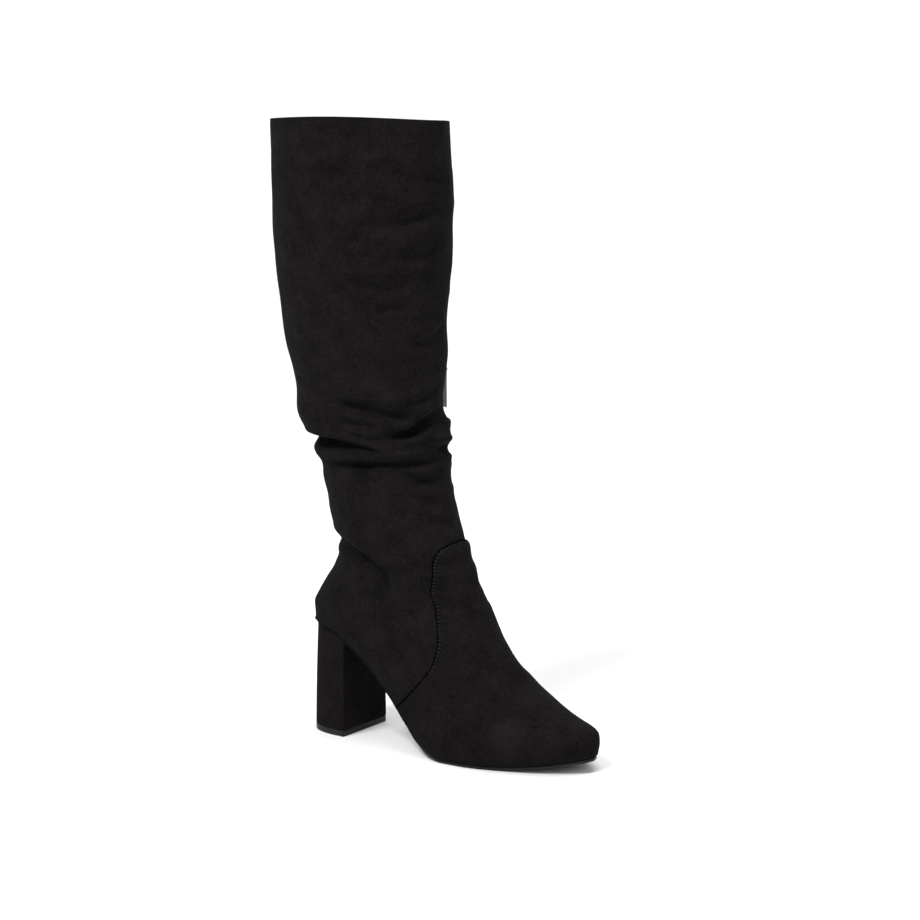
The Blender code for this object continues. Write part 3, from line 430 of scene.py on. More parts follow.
def directions(s, u):
    """Unit normals of the smooth form, level with the sole along the feather edge."""
    ds, du = 0.04, 0.012
    down = smooth_form(np.minimum(s + ds, TOE_END - 0.01), u) - smooth_form(np.maximum(s - ds, 0), u)
    closed = (s < LEG_END)[:, None]
    seam = at_seam(s, u)
    around = np.where(seam, 0.0, u)
    before = np.where(closed, (around - du) % 1.0, np.maximum(u - du, 0))
    after = np.where(closed, (around + du) % 1.0, np.minimum(u + du, 1))
    inner = np.minimum(s, TOE_END - 0.05)
    across = smooth_form(inner, after) - smooth_form(inner, before)
    normal = np.cross(down, across)
    normal /= np.maximum(np.linalg.norm(normal, axis=-1), 1e-12)[..., None]
    normal[seam | (s > TOE_END - 0.01)[:, None], 1] = 0
    t = s - LEG_END
    rows = sole_rows()
    dx = through(rows["x"], t + 0.02) - through(rows["x"], t - 0.02)
    dz = through(rows["z"], t + 0.02) - through(rows["z"], t - 0.02)
    sole_normal = np.stack([-dz, 0 * dx, dx], -1) / np.maximum(np.hypot(dx, dz), 1e-12)[:, None]
    down_part = (normal * sole_normal[:, None]).sum(-1)
    low = np.clip(1 - np.minimum(u, 1 - u) / 0.03, 0, 1) * np.clip((s - LEG_END) * 4, 0, 1)[:, None]
    normal -= sole_normal[:, None] * (np.minimum(down_part, 0) * low)[..., None]
    length = np.linalg.norm(normal, axis=-1)
    normal *= (np.minimum(1 / np.maximum(length, 0.5), 1.4))[..., None]
    return normal


def smooth_step(x):
    x = np.clip(x, 0, 1)
    return x * x * (3 - 2 * x)


def folds(z, u):
    """Main folds of the slouch, pressed in, in metres."""
    up = (z - HEEL_HEIGHT) / SHAFT_HEIGHT
    depth = np.zeros_like(z)
    for row in FOLDS:
        fold = dict(zip(FOLD_COLUMNS, row))
        off = (u - fold["around"] + 0.5) % 1.0 - 0.5
        along = np.clip(off / fold["span"], -1, 1)
        across = (up - fold["up"] - fold["slope"] * off) / fold["reach"]
        depth += fold["depth"] * ANKLE_LENGTH * np.cos(along * math.pi / 2) ** 2 * np.exp(-across ** 2)
    return depth


def leg_round(up):
    """Length round the leg in millimetres, to turn shares round into distances."""
    return ANKLE_ROUND + (CALF_ROUND - ANKLE_ROUND) * np.clip((up - 0.42) / 0.35, 0, 1)


def creases(z, u):
    """Fine creases and the cloth's slow waves, pressed in, in metres."""
    up = (z - HEEL_HEIGHT) / SHAFT_HEIGHT
    run = leg_round(up)
    y = up * SHAFT_HEIGHT * 1000
    depth = np.zeros_like(z)
    for amount, half, line in CREASES:
        ends = np.array([(p[1], p[0] * SHAFT_HEIGHT * 1000) for p in line])
        wide = float(leg_round(np.mean([p[0] for p in line])))
        lengths = np.hypot(np.diff(ends[:, 0]) * wide, np.diff(ends[:, 1]))
        total = lengths.sum()
        best = np.full(z.shape, 1e9)
        where = np.zeros_like(z)
        done = 0.0
        for (a, b), length in zip(zip(ends, ends[1:]), lengths):
            bx, by = (b[0] - a[0]) * wide, b[1] - a[1]
            px = ((u - a[0] + 0.5) % 1.0 - 0.5) * run
            py = y - a[1]
            t = np.clip((px * bx + py * by) / length ** 2, 0, 1)
            d = np.hypot(px - t * bx, py - t * by)
            near = d < best
            best = np.where(near, d, best)
            where = np.where(near, done + t * length, where)
            done += length
        taper = smooth_step(np.minimum(where, total - where) / (0.32 * total) + 0.12)
        half = CREASE_WIDTH * half
        trough = np.exp(-(best / half) ** 2)
        bank = 0.34 * np.exp(-((best - 2.1 * half) / (0.9 * half)) ** 2)
        depth += CREASE_GAIN * amount * 0.001 * taper * (trough - bank)
    leg = smooth_step((up - 0.10) / 0.12)
    x = u * 2 * math.pi
    wave = (np.sin(3 * x + 0.052 * y + 0.7) * np.sin(0.047 * y + 1.3)
            + 0.7 * np.sin(5 * x - 0.081 * y + 2.1) * np.sin(0.031 * y + 0.4)
            + 0.5 * np.sin(2 * x + 0.113 * y) + 0.35 * np.sin(7 * x + 0.173 * y + 1.9))
    slack = 0.34 + 0.30 * np.exp(-((up - 0.42) / 0.12) ** 2)
    return depth + leg * slack * 0.001 * wave


def zip_around(z):
    return ZIP_AROUND_TOP + (ZIP_AROUND_BOTTOM - ZIP_AROUND_TOP) * (ZIP_TOP - z) / (ZIP_TOP - ZIP_BOTTOM)


def zip_channel(z, u):
    """The opening that the zip lies in, pressed in between two folded edges, in metres."""
    up = (z - HEEL_HEIGHT) / SHAFT_HEIGHT
    off = (u - zip_around(np.clip(z, ZIP_BOTTOM, ZIP_TOP))) * leg_round(up)
    past = np.maximum(np.maximum(ZIP_BOTTOM - z, z - ZIP_TOP), 0) * 1000
    d = np.hypot(off, past)
    return 0.0014 * (1 - smooth_step((d - 2.7) / 0.9)) - 0.0003 * np.exp(-((d - 4.6) / 1.3) ** 2)


def surface(s, u, out=0.0, fine=True):
    """Points of the dressed form and its normals, moved out by a length."""
    s = np.asarray(s, float)
    points = smooth_form(s, u)
    normal = directions(s, u)
    seam = at_seam(s, u)
    around = np.where(seam, 0.0, u)
    depth = folds(points[..., 2], around)
    if fine:
        share = smooth_step((LEG_END + 2.5 - s) / 3.0)[:, None]
        depth = depth + share * creases(points[..., 2], around)
        depth = depth + share * zip_channel(points[..., 2], around)
        low = np.exp(-((points[..., 2] - HEEL_HEIGHT - 0.008) / 0.009) ** 2)
        depth = depth + COUNTER_PULL * low * smooth_step((0.018 - points[..., 0]) / 0.030)
        far = np.clip(np.cos(2 * math.pi * (around - RIM_FAR)), 0, 1) ** 1.3
        near = np.clip(np.cos(2 * math.pi * (around - RIM_NEAR)), 0, 1) ** 1.3
        front = 0.5 - 0.5 * np.cos(2 * math.pi * around)
        rim = RIM_LIFT * near - RIM_DROP * far + RIM_TILT * front - RIM_BACK
        rim = rim * np.exp(-(s / 1.4) ** 2)[:, None]
        points = points + rim[..., None] * np.array([0, 0, 1.0])
    return points + normal * (np.asarray(out) - depth)[..., None], normal


# Making meshes
def mesh_object(name, verts, faces, materials, slots=None, smooth=True):
    mesh = bpy.data.meshes.new(name)
    mesh.from_pydata([tuple(v) for v in np.asarray(verts, float)], [], faces)
    for material in materials:
        mesh.materials.append(material)
    if slots is not None:
        mesh.polygons.foreach_set("material_index", np.array(slots, np.int32))
    if smooth:
        mesh.shade_smooth()
    mesh.validate()
    mesh.update()
    item = bpy.data.objects.new(name, mesh)
    bpy.context.scene.collection.objects.link(item)
    return item


def quads(index, flip=False):
    """Faces of a grid of vertex numbers, without repeated corners."""
    faces = []
    for a, b, c, d in zip(index[:-1, :-1].ravel(), index[1:, :-1].ravel(),
                          index[1:, 1:].ravel(), index[:-1, 1:].ravel()):
        corners = []
        for v in (int(a), int(b), int(c), int(d)):
            if v not in corners:
                corners.append(v)
        if len(corners) > 2:
            faces.append(corners[::-1] if flip else corners)
    return faces


def bevel(item, width, segments=3, angle=35):
    edge = item.modifiers.new("Edge", "BEVEL")
    edge.width = width
    edge.segments = segments
    edge.limit_method = "ANGLE"
    edge.angle_limit = math.radians(angle)
    edge.harden_normals = False


def add_tube(verts, faces, rings, flip=True, joined=False):
    """Add a tube through rings of points to a mesh. Its ends are capped, or joined."""
    rings = np.asarray(rings, float)
    index = len(verts) + np.arange(rings.shape[0] * rings.shape[1]).reshape(rings.shape[:2])
    verts.extend(rings.reshape(-1, 3))
    if joined:
        index = np.concatenate([index, index[:1]])
    else:
        first, last = index[0].tolist(), index[-1].tolist()
        faces += [first[::-1], last] if flip else [first, last[::-1]]
    faces += quads(np.concatenate([index, index[:, :1]], 1), flip)


def circle(count):
    return np.linspace(0, 2 * math.pi, count + 1)[:-1]


def stitches(name, ends, radius, rise, material, rings=5, sides=6):
    """Short threads from point to point: each end dips into the surface, the middle stands on it."""
    verts, faces = [], []
    for start, end, normal in ends:
        run = np.array(end) - start
        side = np.cross(run, normal)
        side /= max(np.linalg.norm(side), 1e-12)
        tube = []
        for t in np.linspace(0, 1, rings + 1):
            arch = math.sin(math.pi * t)
            centre = start + run * t + normal * (rise * (arch ** 0.6 * 1.6 - 0.9))
            thick = radius * (0.55 + 0.45 * arch ** 0.5)
            tube.append([centre + thick * (math.cos(a) * side + math.sin(a) * normal)
                         for a in circle(sides)])
        add_tube(verts, faces, tube, flip=False)
    return mesh_object(name, verts, faces, [material])


# Materials
class Look:
    """A material being made, with its nodes at hand."""

    def __init__(self, name, colour, roughness, metallic=0.0, specular=0.5):
        self.material = bpy.data.materials.new(name)
        self.material.use_nodes = True
        self.nodes = self.material.node_tree.nodes
        self.links = self.material.node_tree.links
        self.shader = self.nodes["Principled BSDF"]
        self.shader.inputs["Base Color"].default_value = (*colour, 1.0)
        self.shader.inputs["Roughness"].default_value = roughness
        self.shader.inputs["Metallic"].default_value = metallic
        self.shader.inputs["Specular IOR Level"].default_value = specular

    def node(self, kind, values, sources):
        """A node with values on some inputs and links to others."""
        node = self.nodes.new("ShaderNode" + kind)
        for key, value in values.items():
            node.inputs[key].default_value = value
        for key, source in sources.items():
            self.links.new(source, node.inputs[key])
        return node

    def place(self):
        """The object's own coordinates, from one node."""
        node = self.nodes.get("Place") or self.nodes.new("ShaderNodeTexCoord")
        node.name = "Place"
        return node.outputs["Object"]

    def noise(self, scale, detail=4.0, rough=0.55):
        sizes = {"Scale": scale, "Detail": detail, "Roughness": rough}
        return self.node("TexNoise", sizes, {"Vector": self.place()}).outputs["Fac"]

    def waves(self, scale, direction):
        node = self.node("TexWave", {"Scale": scale, "Distortion": 0.0}, {"Vector": self.place()})
        node.bands_direction = direction
        return node.outputs["Fac"]

    def combine(self, operation, values, sources):
        node = self.node("Math", values, sources)
        node.operation = operation
        return node.outputs[0]

    def colours(self, value, stops):
        """The base colour, from stops along a value."""
        node = self.node("ValToRGB", {}, {"Fac": value})
        elements = node.color_ramp.elements
        for element, (position, colour) in zip(elements, (stops[0], stops[-1])):
            element.position = position
            element.color = (*colour, 1)
        for position, colour in stops[1:-1]:
            elements.new(position).color = (*colour, 1)
        self.links.new(node.outputs["Color"], self.shader.inputs["Base Color"])

    def roughness(self, value, low, high):
        node = self.node("MapRange", {"To Min": low, "To Max": high}, {"Value": value})
        self.links.new(node.outputs[0], self.shader.inputs["Roughness"])

    def bumps(self, *heights):
        """Bumps one on the other: (height, strength, distance)."""
        last = None
        for height, strength, distance in heights:
            node = self.node("Bump", {"Strength": strength, "Distance": distance}, {"Height": height})
            if last:
                self.links.new(last, node.inputs["Normal"])
            last = node.outputs["Normal"]
        self.links.new(last, self.shader.inputs["Normal"])


def suede_material(name, dark, light, sheen):
    look = Look(name, light, 0.97, specular=0.03)
    patches = look.combine("MULTIPLY", {1: PATCH_SHARE}, {0: look.noise(70.0, 4.0, 0.60)})
    grain = look.noise(620.0, 3.0, 0.75)
    mix = look.combine("MULTIPLY_ADD", {1: 1 - PATCH_SHARE}, {0: grain, 2: patches})
    # Painted highlight: the colour is lighter near a point beside the toe, where the light falls on it.
    gap = look.node("VectorMath", {1: TOE_HIGHLIGHT}, {0: look.place()})
    gap.operation = "DISTANCE"
    reach = {"From Min": HIGHLIGHT_OUTSIDE, "From Max": HIGHLIGHT_INSIDE, "To Max": HIGHLIGHT_AMOUNT}
    highlight_spot = look.node("MapRange", reach, {"Value": gap.outputs["Value"]})
    highlight_spot.interpolation_type = "SMOOTHSTEP"
    grain_and_highlight = look.combine("ADD", {}, {0: mix, 1: highlight_spot.outputs["Result"]})
    middle = tuple((a + b) / 2 for a, b in zip(dark, light))
    look.colours(grain_and_highlight, ((0.34, dark), (0.50, middle), (0.66, light)))
    look.shader.inputs["Sheen Weight"].default_value = sheen
    look.shader.inputs["Sheen Roughness"].default_value = 0.45
    look.shader.inputs["Sheen Tint"].default_value = (0.62, 0.58, 0.58, 1)
    slack = look.noise(42.0, 3.0, 0.5)
    nap = look.noise(300.0, 4.0, 0.6)
    fuzz = look.noise(2300.0, 2.0, 0.6)
    look.bumps((slack, 0.75, 0.0060), (nap, 0.45, 0.0008), (fuzz, 0.55, 0.0004))
    return look.material


def lining_material():
    look = Look("Lining", (0.030, 0.027, 0.031), 0.62, specular=0.35)
    look.colours(look.noise(60.0), ((0.3, (0.024, 0.022, 0.026)), (0.75, (0.040, 0.036, 0.042))))
    look.bumps((look.noise(1200.0, 2.0), 0.25, 0.0002))
    return look.material


def rubber_material():
    look = Look("Sole rubber", (0.0078, 0.0072, 0.0072), 0.58, specular=0.2)
    cloud = look.noise(90.0)
    look.colours(cloud, ((0.3, (0.0060, 0.0056, 0.0056)), (0.8, (0.0108, 0.0102, 0.0102))))
    look.roughness(cloud, 0.38, 0.62)
    look.bumps((look.noise(700.0, 3.0), 0.25, 0.0003))
    return look.material


def tread_material():
    look = Look("Tread", (0.020, 0.019, 0.019), 0.60)
    fine = look.noise(500.0, 3.0)
    look.colours(fine, ((0.3, (0.015, 0.014, 0.014)), (0.8, (0.028, 0.027, 0.027))))
    look.bumps((look.waves(95.0, "X"), 0.5, 0.0005), (fine, 0.3, 0.0003))
    return look.material


def thread_material():
    look = Look("Thread", (0.0125, 0.0115, 0.0118), 0.75, specular=0.08)
    ply = look.noise(3000.0, 1.0)
    look.colours(ply, ((0.3, (0.0098, 0.0090, 0.0092)), (0.8, (0.0155, 0.0142, 0.0146))))
    look.bumps((ply, 0.4, 0.0002))
    return look.material


def tape_material():
    look = Look("Zip tape", (0.012, 0.012, 0.013), 0.80)
    fine = look.noise(1800.0, 2.0)
    look.colours(fine, ((0.3, (0.009, 0.009, 0.010)), (0.8, (0.017, 0.017, 0.018))))
    look.bumps((look.waves(420.0, "Z"), 0.5, 0.0002), (fine, 0.3, 0.0001))
    return look.material


def metal_material():
    look = Look("Dark nickel", (0.20, 0.20, 0.205), 0.32, 1.0)
    cloud = look.noise(400.0, 3.0)
    look.colours(cloud, ((0.3, (0.15, 0.15, 0.155)), (0.8, (0.26, 0.26, 0.265))))
    look.roughness(cloud, 0.22, 0.42)
    look.bumps((cloud, 0.10, 0.0001))
    return look.material


SUEDE = suede_material("Black suede", (0.0028, 0.0024, 0.0025), (0.0109, 0.0096, 0.0098), 0.010)
VAMP_SUEDE = suede_material("Vamp suede", (0.0026, 0.0022, 0.0023), (0.0102, 0.0088, 0.0092), 0.010)
COVER = suede_material("Heel cover", (0.0034, 0.0030, 0.0028), (0.0108, 0.0096, 0.0090), 0.010)
LINING = lining_material()
RUBBER = rubber_material()
TREAD = tread_material()
# Painted shadow: a near-black colour for the tube that stands in for the shade in the vamp's seam.
SHADOW = Look("Painted seam shadow", (0.0012, 0.0011, 0.0011), 0.9, specular=0.0).material
THREAD = thread_material()
TAPE = tape_material()
METAL = metal_material()


# The upper: suede outside, turned edge at the collar, lining inside
def upper_rows():
    """Sections of the fine grid, closest together where the leg slouches."""
    at, step = zip(*ROW_STEPS)
    rows = [0.0]
    while rows[-1] < TOE_END:
        rows.append(rows[-1] + float(np.interp(rows[-1], at, step)))
    rows[-1] = float(TOE_END)
    return np.array(rows)


def upper_columns(s):
    """Shares round for each row, close together along the zip."""
    even = np.linspace(0, 1, COLUMNS + 1)
    height = smooth_form(s, np.full((len(s), 1), 0.66))[:, 0, 2]
    centre = zip_around(np.clip(height, ZIP_BOTTOM, ZIP_TOP))
    half = ZIP_HALF * 1000 / leg_round((height - HEEL_HEIGHT) / SHAFT_HEIGHT)
    amount = smooth_step((s - 3.0) / 2.0) * smooth_step((LEG_END + 2.0 - s) / 3.0)
    rows = []
    for c, w, b in zip(centre, half, amount):
        near = np.interp(np.arange(COLUMNS + 1), [0, ZIP_FIRST, ZIP_LAST, COLUMNS], [0, c - w, c + w, 1])
        rows.append(even * (1 - b) + near * b)
    return np.array(rows)


def make_upper():
    s = upper_rows()
    u = upper_columns(s)
    outer, normal = surface(s, u)
    inner = outer - normal * UPPER_WALL
    rows, columns = len(s), COLUMNS + 1
    turn = np.radians([30, 60, 90, 120, 150])
    lip = [outer[0] + normal[0] * UPPER_WALL / 2 * (math.cos(a) - 1)
           + np.array([0, 0, LIP_RISE * math.sin(a)]) for a in turn]
    verts = np.concatenate([outer.reshape(-1, 3), inner.reshape(-1, 3), np.array(lip).reshape(-1, 3)])
    number = np.arange(len(verts))
    over = number[:rows * columns].reshape(rows, columns).copy()
    under = number[rows * columns:2 * rows * columns].reshape(rows, columns).copy()
    edge = number[2 * rows * columns:].reshape(len(turn), columns).copy()
    closed = s < LEG_END + 0.01
    for grid in (over, under):
        grid[closed, -1] = grid[closed, 0]
        grid[-1] = np.minimum(grid[-1], grid[-1][::-1])
    edge[:, -1] = edge[:, 0]
    collar = np.concatenate([under[:1], edge[::-1], over[:1]])
    parts = [(quads(over), 0), (quads(under, True), 1), (quads(collar), 0)]
    open_rows = int(np.argmax(~closed)) - 1
    for j in (0, columns - 1):
        side = np.stack([over[open_rows:, j], under[open_rows:, j]], 1)
        parts.append((quads(side, j == 0), 0))
    faces = sum((part for part, _ in parts), [])
    slots = sum(([k] * len(part) for part, k in parts), [])
    item = mesh_object("upper_suede", verts, faces, [SUEDE, LINING], slots)
    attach(item, "boot")
    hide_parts("upper")
    return item


# The vamp, laid over the upper, its edge rounded and puckered by the seam
def seam_line(t):
    return [through(column(SEAM_COLUMNS, SEAM, name), t) for name in SEAM_COLUMNS]


def distance_to(grid, line, marks):
    """Distance of each point of a grid to a fine line, and the mark where it is nearest."""
    points = grid.reshape(-1, 3)
    nearest, place = [], []
    for part in np.array_split(points, len(points) // 4000 + 1):
        d = np.linalg.norm(part[:, None] - line[None], axis=-1)
        nearest.append(d.min(1))
        place.append(marks[d.argmin(1)])
    return np.concatenate(nearest).reshape(grid.shape[:2]), np.concatenate(place).reshape(grid.shape[:2])


def make_vamp():
    section, lateral, medial = seam_line(np.linspace(0, len(SEAM) - 1, 90))
    rest = np.concatenate([np.linspace(SEAM[-1][0], TOE_END - 1.5, 66)[1:],
                           np.linspace(TOE_END - 1.5, TOE_END, 15)[1:]])
    s = np.concatenate([section, rest])
    lateral = np.concatenate([lateral, 0 * rest])
    medial = np.concatenate([medial, 0 * rest])
    half = VAMP_COLUMNS // 2
    share = np.linspace(0, 1, half + 1)
    share = share - 0.09 * np.sin(2 * np.pi * share)
    left = (lateral[:, None] + (1 - lateral[:, None]) * share) / 2
    right = 1 - (medial[:, None] + (1 - medial[:, None]) * share[-2::-1]) / 2
    u = np.concatenate([left, right], 1)
    base, normal = surface(s, u)
    count = len(section)
    edge = np.concatenate([base[:count, -1][::-1], base[:count, 0]])
    run = np.concatenate([[0], np.cumsum(np.linalg.norm(np.diff(edge, axis=0), axis=1))])
    fine = np.linspace(0, run[-1], 900)
    line = np.stack([np.interp(fine, run, edge[:, k]) for k in range(3)], -1)
    d, along = distance_to(base, line, fine)
    rounding = np.sqrt(np.clip(1 - (1 - np.clip(d / EDGE_ROUND, 0, 1)) ** 2, 0, 1))
    pucker = np.cos(2 * np.pi * along / SEWN_PITCH) * np.exp(-(d / 0.0022) ** 2)
    lift = VAMP_LIFT + VAMP_THICKNESS * rounding + 0.00012 * pucker * rounding
    lift -= 0.00030 * np.exp(-((d - 0.0018) / 0.0009) ** 2)
    over_points = base + normal * lift[..., None]
    under_points = base + normal * VAMP_LIFT
    rows, columns = u.shape
    verts = np.concatenate([over_points.reshape(-1, 3), under_points.reshape(-1, 3)])
    over, under = np.arange(2 * rows * columns).reshape(2, rows, columns)
    over[0] = over[0, 0]
    under[0] = under[0, 0]
    for grid in (over, under):
        grid[-1] = np.minimum(grid[-1], grid[-1][::-1])
    faces = quads(over) + quads(under, True)
    for j in (0, columns - 1):
        faces += quads(np.stack([over[:, j], under[:, j]], 1), j == 0)
    item = mesh_object("vamp_suede", verts, faces, [VAMP_SUEDE])
    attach(item, "boot")
    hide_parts("vamp")
    return item, line


def on_surface(tree, point, lift):
    """Nearest point of a surface, lifted off it, and the normal there."""
    place, normal, _, _ = tree.find_nearest(Vector(point))
    return np.array(place) + np.array(normal) * lift, np.array(normal)


def tree_of(item):
    mesh = item.data
    return BVHTree.FromPolygons([v.co.copy() for v in mesh.vertices],
                                [tuple(p.vertices) for p in mesh.polygons])


def make_vamp_stitches(vamp, line, upper):
    """Whip stitches across the seam down to the instep, and a near-black tube along the seam as its painted
    shadow.
    """
    tree, below = tree_of(vamp), tree_of(upper)
    run = np.concatenate([[0], np.cumsum(np.linalg.norm(np.diff(line, axis=0), axis=1))])
    middle = (line[0] + line[-1]) / 2 + np.array([0.06, 0, -0.03])

    def along(distance):
        return np.array([np.interp(distance, run, line[:, k]) for k in range(3)])

    def inside(distance, depth):
        """A point of the vamp, in from its edge by a depth, and the leg's direction outwards there."""
        p = along(distance)
        _, normal = on_surface(below, p, 0)
        inward = np.cross(normal, along(distance + 0.001) - along(distance - 0.001))
        inward /= max(np.linalg.norm(inward), 1e-9)
        if (middle - p) @ inward < 0:
            inward = -inward
        spot, _ = on_surface(tree, p + inward * depth + normal * 0.001, THREAD_LIFT)
        return spot, normal

    total = run[-1]
    marks = np.arange(0.0020, total - 0.0020, SEWN_PITCH)
    ends = []
    for mark in marks[np.interp(marks, run, line[:, 2]) > SEWN_ABOVE]:
        a, normal = inside(mark, 0.0)
        b, _ = inside(mark + 0.0006, SEWN_IN)
        ends.append((a, b, normal))
    item = stitches("vamp_stitches", ends, 0.00046, 0.00050, THREAD)
    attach(item, "boot")
    # Painted shadow: a thin near-black tube along the vamp's edge, in place of the seam's shade.
    path = [inside(mark, 0.0) for mark in np.arange(0.0, total, 0.0012)]
    shadow = [(a, b, normal) for (a, normal), (b, _) in zip(path, path[1:])]
    item = stitches("vamp_seam_shadow", shadow, 0.00065, 0.0, SHADOW, rings=2)
    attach(item, "boot")


def make_collar_stitches(upper):
    tree = tree_of(upper)
    share = (np.arange(COLLAR_STITCHES)[:, None] + np.array([0.0, 0.72])) / COLLAR_STITCHES
    points, _ = surface(np.full(share.size, COLLAR_ROW), share.reshape(-1, 1))
    ends = []
    for start, end in points.reshape(COLLAR_STITCHES, 2, 3):
        a, normal = on_surface(tree, start, THREAD_LIFT / 2)
        b, _ = on_surface(tree, end, THREAD_LIFT / 2)
        ends.append((a, b, normal))
    item = stitches("collar_stitches", ends, 0.00018, 0.00018, THREAD)
    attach(item, "boot")


# The zip
def section_at(height, u):
    low, high = 0.0, float(LEG_END)
    for _ in range(30):
        mid = (low + high) / 2
        if smooth_form(np.array([mid]), np.array([[u]]))[0, 0, 2] > height:
            low = mid
        else:
            high = mid
    return (low + high) / 2


def zip_places(heights, across, out):
    """Points beside the zip's middle line, and the directions there."""
    u = zip_around(np.clip(heights, ZIP_BOTTOM, ZIP_TOP))
    s = np.array([section_at(h, a) for h, a in zip(heights, u)])
    run = leg_round((heights - HEEL_HEIGHT) / SHAFT_HEIGHT)
    shares = u[:, None] + np.asarray(across) * 1000 / run[:, None]
    points = smooth_form(s, shares)
    normal = directions(s, shares)
    z = points[..., 2]
    depth = folds(z, shares) + creases(z, shares)
    return points + normal * (np.asarray(out) - depth)[..., None], normal


def make_zip():
    heights = np.linspace(ZIP_TOP - 0.0003, ZIP_BOTTOM + 0.0003, 110)
    across = np.array([-0.0032, -0.0016, 0.0, 0.0016, 0.0032])
    tape, normal = zip_places(heights, np.tile(across, (len(heights), 1)), -0.00125)
    below = tape - normal * 0.0004
    rows, columns = tape.shape[:2]
    over, under = np.arange(2 * rows * columns).reshape(2, rows, columns)
    faces = quads(over) + quads(under, True)
    for a, b, flip in ((over[:, 0], under[:, 0], True), (over[:, -1], under[:, -1], False),
                       (over[0], under[0], False), (over[-1], under[-1], True)):
        faces += quads(np.stack([a, b], 1), flip)
    verts = np.concatenate([tape.reshape(-1, 3), below.reshape(-1, 3)])
    item = mesh_object("zip_tape", verts, faces, [TAPE])
    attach(item, "boot")
    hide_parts("zip_chain")

    count = int((ZIP_TOP - SLIDER_LENGTH - ZIP_BOTTOM - FIRST_TOOTH) / TOOTH_PITCH)
    heights = ZIP_BOTTOM + FIRST_TOOTH + TOOTH_PITCH * np.arange(count)
    centres, normal = zip_places(heights, np.zeros((count, 1)), TEETH_OUT)
    verts, faces = [], []
    for k in range(count):
        centre, out = centres[k, 0], normal[k, 0]
        up = centres[min(k + 1, count - 1), 0] - centres[max(k - 1, 0), 0]
        up /= np.linalg.norm(up)
        side = np.cross(up, out)
        side /= np.linalg.norm(side)
        sign = 1 if k % 2 else -1
        add_tube(verts, faces, [[centre + side * x * sign + r * (up * math.cos(a) + out * 0.9 * math.sin(a))
                                 for a in circle(8)] for x, r in TOOTH], flip=sign > 0)
    teeth = mesh_object("zip_teeth", verts, faces, [METAL])
    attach(teeth, "boot")

    ends = []
    heights = np.arange(ZIP_BOTTOM - 0.001, ZIP_TOP + 0.002, 0.0032)
    for beside in (-ZIP_SEWN, ZIP_SEWN):
        across = np.full((len(heights), 1), beside)
        a, normal = zip_places(heights, across, THREAD_LIFT)
        b, _ = zip_places(heights + 0.0023, across, THREAD_LIFT)
        ends += [(a[k, 0], b[k, 0], normal[k, 0]) for k in range(len(heights))]
    turn = np.linspace(0, math.pi, 8)
    heights = ZIP_BOTTOM - 0.0015 - ZIP_SEWN * np.sin(turn)
    arc, normal = zip_places(heights, ZIP_SEWN * np.cos(turn)[:, None], THREAD_LIFT)
    for a, b, out in zip(arc[:, 0], arc[1:, 0], normal[:, 0]):
        ends.append((a, a + (b - a) * 0.8, out))
    row = stitches("zip_stitches", ends, 0.00022, 0.0002, THREAD)
    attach(row, "boot")


def slider_frame():
    height = ZIP_TOP - SLIDER_LENGTH / 2
    around = float(zip_around(height))
    s = np.array([section_at(height, around)])
    u = np.array([[around]])
    base = smooth_form(s, u)
    out = directions(s, u)[0, 0]
    place = base[0, 0] - out * folds(base[..., 2], u)[0, 0]
    along = np.cross(out, (0, 0, 1))
    along /= np.linalg.norm(along)
    return place, along, out, np.cross(along, out)


def placed(item, place, along, out, up):
    turn = Matrix((along, out, up)).transposed().to_4x4()
    item.data.transform(Matrix.Translation(Vector(place)) @ turn)


def rounded_ring(width, low, high, radius, count=32):
    """A rounded rectangle between two heights, as points (x, z)."""
    ring = []
    corners = ((1, high - radius), (-1, high - radius), (-1, low + radius), (1, low + radius))
    for quarter, (side, cz) in enumerate(corners):
        cx = side * (width / 2 - radius)
        for a in np.radians(np.linspace(90 * quarter, 90 * quarter + 90, count // 4)):
            ring.append((cx + radius * math.cos(a), cz + radius * math.sin(a)))
    return ring


def make_slider():
    place, along, out, up = slider_frame()
    seat = 2 * GAP
    verts, faces = [], []
    add_tube(verts, faces, [[(x, z, share * SLIDER_LENGTH) for x, z in
                             rounded_ring(SLIDER_WIDTH * wide, seat, seat + SLIDER_THICKNESS, 0.0009, 16)]
                            for share, wide in SLIDER_LEVELS])
    bail_out = seat + SLIDER_THICKNESS + 0.8 * BAIL_RADIUS
    bail_up = SLIDER_LENGTH / 6
    wire = 0.2 * BAIL_RADIUS
    bail = []
    for a in circle(28):
        reach = [BAIL_RADIUS - wire + wire * math.cos(b) for b in circle(10)]
        bail.append([(0.0007 * math.sin(b), bail_out + r * math.cos(a), bail_up + r * math.sin(a))
                     for r, b in zip(reach, circle(10))])
    add_tube(verts, faces, bail, joined=True)
    item = mesh_object("slider_body", verts, faces, [METAL])
    placed(item, place, along, out, up)
    bevel(item, 0.0003, 2, 50)
    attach(item, "boot")
    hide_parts("zip_slider")

    axis = place + out * bail_out + up * bail_up
    level_out = np.array((out[0], out[1], 0.0)) / math.hypot(out[0], out[1])
    outline = rounded_ring(PULL_WIDTH, PULL_THICKNESS / 2 - PULL_LENGTH, PULL_THICKNESS / 2, 0.0012)
    window = rounded_ring(PULL_WINDOW, -0.0045, -0.0005, 0.0006)
    half = PULL_THICKNESS * 0.96 / 2
    verts, faces = [], []
    slab = ((outline, -half), (window, -half), (window, half), (outline, half))
    add_tube(verts, faces, [[(x, y, z) for x, z in ring] for ring, y in slab], joined=True)
    pull = mesh_object("pull_tab", verts, faces, [METAL], smooth=False)
    placed(pull, axis, along, level_out, (0, 0, 1))
    bevel(pull, 0.00025, 2, 50)
    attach(pull, "zip_pull")
    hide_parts("zip_pull")


